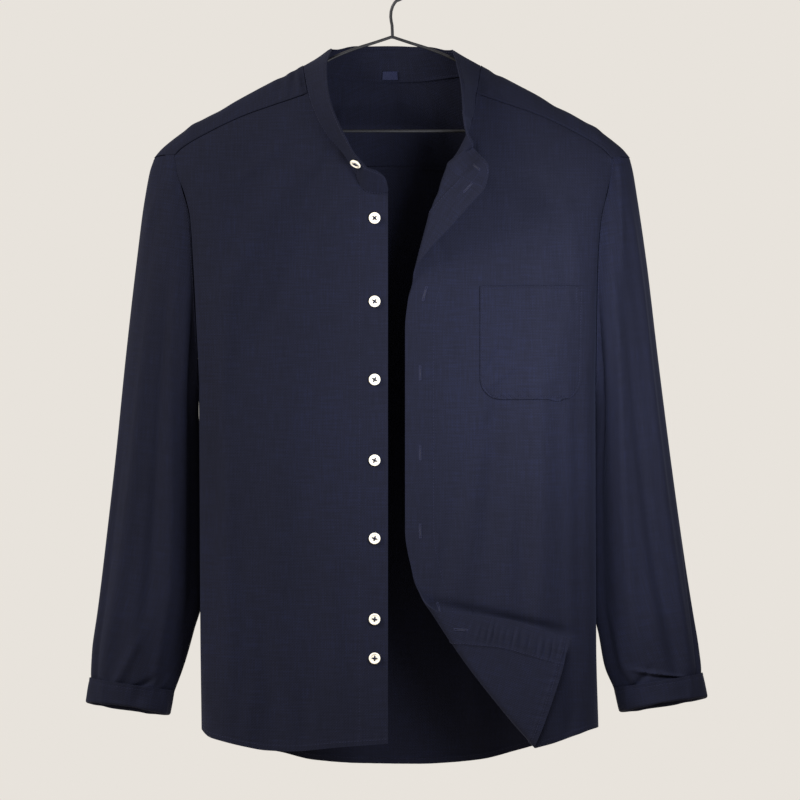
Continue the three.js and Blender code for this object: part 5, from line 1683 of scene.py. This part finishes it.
@dataclass
class Shirt:
    """The whole shirt: its cut pieces in the order that they are sewn, then its fastenings and label."""

    right: Front = field(default_factory=lambda: Front(
        Side.RIGHT, Curve([(-830, 4.2), (-240, 4.2)]),
        Curve([(4.2, -240.5), (16.8, -241.5), (28.4, -239), (36, -226.5), (44.1, -210.5), (53.6, -196.4),
               (65, -183.5), (74, -170), (82, -154.4), (88.5, -135.5)]),
        Curve([(4.2, -818), (54, -821.7), (107, -826), (132, -825), (156, -820.8), (180, -815), (192, -811.5),
               (201, -804)]),
        [
            Crease(-150, -300, 210, 16, 1.7, 62), Crease(-112, -330, 190, 13, -1.3, 66),
            Crease(-176, -420, 180, 9, 1.4, 84),
            Crease(-188, -560, 220, 8, -1.5, 88), Crease(-172, -640, 240, 10, 1.3, 92),
            Crease(-96, -560, 260, 17, -1.1, 86),
            Crease(-62, -700, 190, 12, 1.0, 94), Crease(-130, -745, 130, 10, -1.2, 97),
            Crease(-150, -790, 60, 9, 1.3, 88),
            Crease(-92, -792, 60, 9, -1.0, 92), Crease(-40, -470, 200, 12, 0.7, 90),
            Crease(-140, -210, 80, 7, 0.9, 38),
            Crease(-78, -222, 70, 6, -0.8, 55), Crease(-60, -262, 90, 7, 0.7, 48),
        ], seed=0.4))
    left: Front = field(default_factory=lambda: Front(
        Side.LEFT,
        Curve([(-833, 17.4), (-778, 15.8), (-732, 24.2), (-686, 34.6), (-640, 21.6), (-594, 13.7), (-384, 13.7),
               (-353, 16.8), (-331, 21.8), (-291, 15.4), (-254, 6.3), (-211, 1.1)]),
        Curve([(1, -203.5), (26.3, -210.5), (44.1, -213), (60.9, -209), (68.8, -199.5), (76, -185.9), (82.4, -170.1),
               (86.6, -154.4), (88.5, -135.5)]),
        Curve([(17, -832.7), (50, -832.9), (87, -830.7), (129, -826.4), (164.5, -819), (192.6, -809),
               (207.3, -804), (217.6, -802)]),
        [
            Crease(163, -470, 460, 23, 4.6, 90), Crease(112, -686, 150, 6, -2.4, -12),
            Crease(58, -480, 300, 24, -1.8, 86),
            Crease(124, -545, 230, 11, 2.2, 88), Crease(152, -560, 260, 12, 2.6, 91),
            Crease(106, -520, 180, 9, -1.6, 86),
            Crease(196, -560, 320, 9, -3.2, 91), Crease(132, -420, 300, 12, -1.6, 87),
            Crease(138, -640, 160, 8, -1.4, 94),
            Crease(84, -560, 200, 12, 1.1, 84), Crease(60, -600, 140, 8, -0.9, 80),
            Crease(150, -720, 150, 10, 1.6, 96),
            Crease(176, -760, 110, 8, -1.6, 90), Crease(196, -775, 80, 8, 1.2, 86),
            Crease(110, -230, 90, 9, 1.1, 118),
            Crease(160, -262, 130, 12, -1.3, 108), Crease(190, -300, 120, 9, 1.2, 98),
            Crease(132, -300, 120, 10, 0.9, 112),
            Crease(84, -205, 60, 6, -1.6, 112), Crease(60, -420, 170, 10, 0.8, 92),
            Crease(96, -490, 60, 8, -0.7, 60), Crease(46, -240, 60, 6, 0.7, 120),
            Crease(52, -300, 80, 5, -0.6, 112),
        ], seed=1.9))
    back: Back = field(default_factory=lambda: Back(
        Curve([(-201, -804), (-190, -812), (-160, -823), (-117.6, -831), (-83.5, -839), (-35.7, -842.6),
               (29.4, -843.4), (60, -842), (95.6, -838.3), (132, -829), (160, -821), (218, -802)]),
        [
            Crease(-150, -420, 330, 15, 2.2, 84), Crease(-112, -470, 280, 13, -1.9, 88),
            Crease(-62, -560, 320, 16, 1.6, 91),
            Crease(10, -520, 360, 18, -1.5, 90), Crease(58, -600, 300, 14, 1.8, 93),
            Crease(112, -450, 320, 13, 2.1, 94),
            Crease(146, -520, 300, 12, -2.1, 91), Crease(184, -600, 240, 9, 1.6, 88),
            Crease(-186, -620, 240, 9, -1.6, 92),
            Crease(-30, -740, 160, 12, -1.3, 86), Crease(86, -760, 130, 10, -1.4, 95),
            Crease(-120, -750, 140, 10, 1.6, 96),
            Crease(-170, -290, 130, 10, 1.4, 55), Crease(172, -300, 150, 11, -1.4, 122),
            Crease(30, -270, 110, 12, 0.9, 80),
        ]))
    yoke: Shoulders = field(default_factory=Shoulders)
    collar: StandCollar = field(default_factory=StandCollar)
    pocket: ChestPocket = field(default_factory=ChestPocket)
    button: ShirtButton = field(default_factory=ShirtButton)
    right_creases: tuple[Crease, ...] = (
        Crease(60, -300, 360, 11, 2.6, 88), Crease(96, -240, 300, 9, -2.2, 92),
        Crease(128, -360, 340, 10, 2.0, 94),
        Crease(30, -400, 300, 9, -1.7, 90), Crease(84, -470, 150, 8, 1.8, 78),
        Crease(110, -515, 90, 6, -1.6, 60),
        Crease(60, -525, 80, 5, 1.2, 112), Crease(150, -500, 100, 7, 1.2, 70),
        Crease(240, -260, 320, 12, 2.0, 92),
        Crease(286, -340, 300, 11, -1.8, 86), Crease(330, -240, 260, 10, 1.6, 95),
        Crease(210, -460, 140, 8, 1.6, 64),
        Crease(300, -490, 110, 8, -1.5, 120), Crease(364, -480, 120, 7, 1.3, 100),
        Crease(52, -60, 110, 8, 1.0, 70),
        Crease(350, -80, 130, 9, 1.1, 110), Crease(180, -110, 160, 9, 1.4, 76),
    )
    left_creases: tuple[Crease, ...] = (
        Crease(48, -260, 400, 10, 2.8, 90), Crease(78, -330, 380, 9, -2.6, 88),
        Crease(112, -250, 340, 10, 2.2, 93),
        Crease(20, -440, 240, 8, -1.8, 94), Crease(96, -488, 90, 6, 2.2, 38),
        Crease(70, -512, 90, 5, -1.8, 34),
        Crease(52, -534, 80, 5, 1.8, 30), Crease(130, -500, 90, 7, -1.4, 120),
        Crease(150, -420, 200, 9, 1.4, 84),
        Crease(236, -280, 330, 12, 2.0, 88), Crease(280, -360, 280, 10, -1.9, 93),
        Crease(326, -230, 270, 11, 1.7, 86),
        Crease(214, -480, 120, 8, 1.6, 118), Crease(306, -500, 100, 7, -1.4, 66),
        Crease(366, -460, 130, 7, 1.4, 82),
        Crease(60, -50, 100, 8, 1.1, 112), Crease(340, -70, 120, 9, 1.0, 72),
        Crease(176, -120, 170, 9, 1.3, 104),
    )
    button_z: tuple[float, ...] = (-266.3, -353.2, -435.4, -521.2, -604.0, -686.9, -727.9)
    hole_z: tuple[float, ...] = (-214.0, -346.5, -429.5, -513.5, -595.4, -678.0, -720.0)

    def sew_pieces(self, cloth: bpy.types.Material) -> dict[str, ClothSheet]:
        """Lay out and build every cut piece.

        Args:
            cloth: the shirt's cloth.

        Returns:
            The finished sheets by name.
        """
        sheets = {"right_front": self.right.sheet(), "left_front": self.left.sheet(), "back": self.back.sheet(),
                  "yoke": self.yoke.sheet(), "chest_pocket": self.pocket.sheet(self.left)}
        for side, rows, creases in ((Side.RIGHT, RIGHT_SLEEVE, self.right_creases),
                                    (Side.LEFT, LEFT_SLEEVE, self.left_creases)):
            sleeve = Sleeve(side, rows, list(creases)).sheet(self.yoke)
            sheets[f"{side.word}_sleeve"] = sleeve
            folds = [Crease(30, 14, 40, 4, 1.0, 80), Crease(58, 16, 46, 5, -0.9, 96), Crease(84, 13, 40, 4, 0.9, 84),
                     Crease(140, 15, 50, 6, 0.8, 92), Crease(178, 14, 50, 6, -0.8, 86)]
            sheets[f"{side.word}_cuff"] = Cuff(side, folds).sheet(sleeve)
        sheets["collar_band"] = self.collar.sheet(self.collar.neck_line(self.right, self.left, self.yoke))
        held = {"yoke": ["hanger"], "back": ["yoke"], "right_front": ["yoke"], "left_front": ["yoke"],
                "right_sleeve": ["yoke"], "left_sleeve": ["yoke"], "right_cuff": ["right_sleeve"],
                "left_cuff": ["left_sleeve"], "collar_band": ["yoke"], "chest_pocket": ["left_front"]}
        for node, sheet in sheets.items():
            sheet.build(cloth, node, held[node])
        return sheets

    def sew_seams(self, sheets: dict[str, ClothSheet], thread: bpy.types.Material) -> None:
        """Run the rows of sewing that show.

        Args:
            sheets: the finished sheets.
            thread: its finish.
        """
        for node in ("right_front", "left_front"):
            rows, columns = sheets[node].points.shape[:2]
            seams = Stitching()
            strip = 6 + 11 + 2
            down, over = np.linspace(3, rows - 2, 300), np.linspace(1, columns - 4, 160)
            for inside in (False, True):
                seams.run(sheets[node].line(down, np.full(300, float(strip)), 0.05, inside))
                seams.run(sheets[node].line(np.full(160, rows - 6.0), over, 0.05, inside))
            seams.build(f"{node}_stitches", thread)
        rows, columns = sheets["back"].points.shape[:2]
        seams = Stitching()
        for inside in (False, True):
            seams.run(sheets["back"].line(np.full(300, rows - 5.5), np.linspace(4, columns - 5, 300), 0.05, inside))
        seams.build("back_stitches", thread)
        rows, columns = sheets["yoke"].points.shape[:2]
        seams = Stitching()
        seams.run(sheets["yoke"].line(np.full(300, rows - 3.0), np.linspace(6, columns - 7, 300)))
        for first, last in ((6, 46), (columns - 47, columns - 7)):
            seams.run(sheets["yoke"].line(np.full(120, 2.0), np.linspace(first, last, 120)))
        seams.build("yoke_stitches", thread)
        rows, columns = sheets["collar_band"].points.shape[:2]
        seams = Stitching(2.8, 2.0)
        for inside in (False, True):
            for row in (2.0, rows - 3.5):
                seams.run(sheets["collar_band"].line(np.full(400, row), np.linspace(2, columns - 3, 400), 0.08, inside))
        for column in (2.0, columns - 3.0):
            seams.run(sheets["collar_band"].line(np.linspace(2, rows - 3, 30), np.full(30, column), 0.08))
        seams.build("collar_stitches", thread)
        rows, columns = sheets["chest_pocket"].points.shape[:2]
        seams = Stitching(2.8, 2.0)
        seams.run(sheets["chest_pocket"].line(np.linspace(2, rows - 4, 90), np.full(90, 2.2), 0.06))
        seams.run(sheets["chest_pocket"].line(np.linspace(2, rows - 4, 90), np.full(90, columns - 3.2), 0.06))
        seams.run(sheets["chest_pocket"].line(np.full(90, rows - 3.4), np.linspace(3, columns - 4, 90), 0.06))
        hem_z = self.pocket.top - self.pocket.hem_fold + 1.6
        hem = int(np.argmin(np.abs(sheets["chest_pocket"].cut[:, 20, 1] - hem_z)))
        seams.run(sheets["chest_pocket"].line(np.full(90, float(hem)), np.linspace(3, columns - 4, 90), 0.06))
        seams.run(sheets["chest_pocket"].line(np.linspace(1, 12, 20), np.full(20, columns - 7.0), 0.06))
        seams.build("pocket_stitches", thread)
        for side in Side:
            cuff, sleeve = sheets[f"{side.word}_cuff"], sheets[f"{side.word}_sleeve"]
            seams = Stitching(2.8, 2.0)
            around = np.linspace(0, cuff.points.shape[1], 300)
            seams.run(cuff.line(np.full(300, cuff.points.shape[0] - 5.0), around, 0.06))
            seams.run(sleeve.line(np.full(400, 5.0), np.linspace(0, sleeve.points.shape[1], 400), 0.05))
            seams.build(f"{side.word}_sleeve_stitches", thread)

    def work_hole(self, sheet: ClothSheet, rows: Array, columns: Array, holes: Stitching, slits: Stitching) -> None:
        """Work one buttonhole through the cloth: close stitches down both sides, a bar at each end, a slit.

        Args:
            sheet: the cloth.
            rows: places of the slit down the cloth's grid.
            columns: its places across the grid.
            holes: sewing that gets the stitches.
            slits: marks that get the slit, a dark spindle of painted shade.
        """
        for inside in (False, True):
            place, normal = sheet.line(rows, columns, 0.15, inside)
            along = unit(np.gradient(place, axis=0))
            across = unit(np.cross(normal, along))
            for way in (-0.85, 0.85):
                holes.lay(place + across * way, across, normal, 1.25, 0.3)
            for end in (0, -1):
                centre = np.stack([place[end] + across[end] * k for k in (-0.7, 0, 0.7)])
                holes.lay(centre, np.stack([along[end]] * 3), np.stack([normal[end]] * 3), 1.8, 0.34)
            middle = len(place) // 2
            # The slit is a dark spindle laid on the cloth: painted shade for the cut.
            slits.lay(place[middle][None], along[middle][None], normal[middle][None], 12.5, 0.25)

    def work_buttonholes(self, sheets: dict[str, ClothSheet], thread: bpy.types.Material) -> None:
        """Work the buttonholes of the left front and the one on the band's left end.

        Args:
            sheets: the finished sheets.
            thread: its finish.
        """
        holes, slits = Stitching(), Stitching()
        front, band = sheets["left_front"], sheets["collar_band"]
        column = 10.9
        drop = -front.cut[:, round(column), 1]
        for z in self.hole_z:
            rows = np.interp(-z + np.linspace(-7.2, 7.2, 30), drop, np.arange(len(drop)))
            self.work_hole(front, rows, np.full(30, column), holes, slits)
        per_mm = (band.points.shape[1] - 1) / self.collar.total
        columns = (0.957 * self.collar.total + np.linspace(-7.2, 7.2, 30)) * per_mm
        self.work_hole(band, np.full(30, 0.58 * (band.points.shape[0] - 1)), columns, holes, slits)
        holes.build("buttonhole_stitches", thread)
        # The slit marks get a dark finish: painted shade.
        slits.build("buttonhole_slits", CottonLinenShade().build())

    def fasten(self, sheets: dict[str, ClothSheet], plastic: bpy.types.Material, thread: bpy.types.Material) -> None:
        """Sew on the buttons.

        Args:
            sheets: the finished sheets.
            plastic: the buttons' finish.
            thread: their thread.
        """
        shape = self.button.blank(plastic)
        threads = Stitching()
        front = sheets["right_front"]
        for k, z in enumerate(self.button_z):
            far = np.abs(front.cut[..., 0] + BUTTON_OUT) + np.abs(front.cut[..., 1] - z)
            row, column = np.unravel_index(int(far.argmin()), far.shape)
            normal = unit(front.normals()[row, column] + np.array([0, -1.5, 0]))
            place = front.points[row, column] + normal * 0.3
            self.button.sew(f"shirt_button_{k + 1}", f"button_{k + 1}", place, normal, shape, plastic, threads, 7.0 * k)
        band = sheets["collar_band"]
        rows, columns = band.points.shape[:2]
        point, normal = band.line(np.array([0.6 * (rows - 1)]), np.array([0.08 * (columns - 1)]), 1.0)
        self.button.sew("collar_band_button", "collar_button", point[0], normal[0], shape, plastic, threads, 12.0)
        threads.build("button_threads", thread)

    def add_label(self, sheets: dict[str, ClothSheet], satin: bpy.types.Material) -> None:
        """Sew the blank label inside the back of the collar.

        Args:
            sheets: the finished sheets.
            satin: the label's finish.
        """
        band = sheets["collar_band"]
        rows, columns = band.points.shape[:2]
        wide = LABEL_WIDE / self.collar.total * (columns - 1)
        across = np.linspace(-0.5, 0.5, 19) * wide + 0.5 * (columns - 1)
        grid, cut = [], []
        for up in np.linspace(LABEL_LOW, LABEL_HIGH, 10):
            points, normals = band.line(np.full(19, up / self.collar.height * (rows - 1)), across, 1.0, True)
            grid.append(points + normals * 0.3)
            cut.append(np.stack([np.linspace(0, LABEL_WIDE, 19), np.full(19, up)], axis=1))
        sheet = ClothSheet("woven_label", np.array(grid), np.array(cut), 1.0, False, 0.5, 2.0)
        sheet.face(4, 9, (0, -1, 0))
        sheet.build(satin, "neck_label", ["collar_band"])


def main() -> None:
    """Build the studio, the hanger and the shirt."""
    Studio().build()
    cloth, thread = CottonLinenCloth().build(), SewingThread().build()
    WireHanger().build(LacqueredWire().build())
    log.info("hanger done")
    shirt = Shirt()
    sheets = shirt.sew_pieces(cloth)
    log.info("cloth pieces done")
    shirt.sew_seams(sheets, thread)
    shirt.work_buttonholes(sheets, thread)
    shirt.fasten(sheets, CastPolyester().build(), thread)
    shirt.add_label(sheets, WovenSatin().build())
    log.info("sewing and fastenings done")


if __name__ == "__main__":
    main()
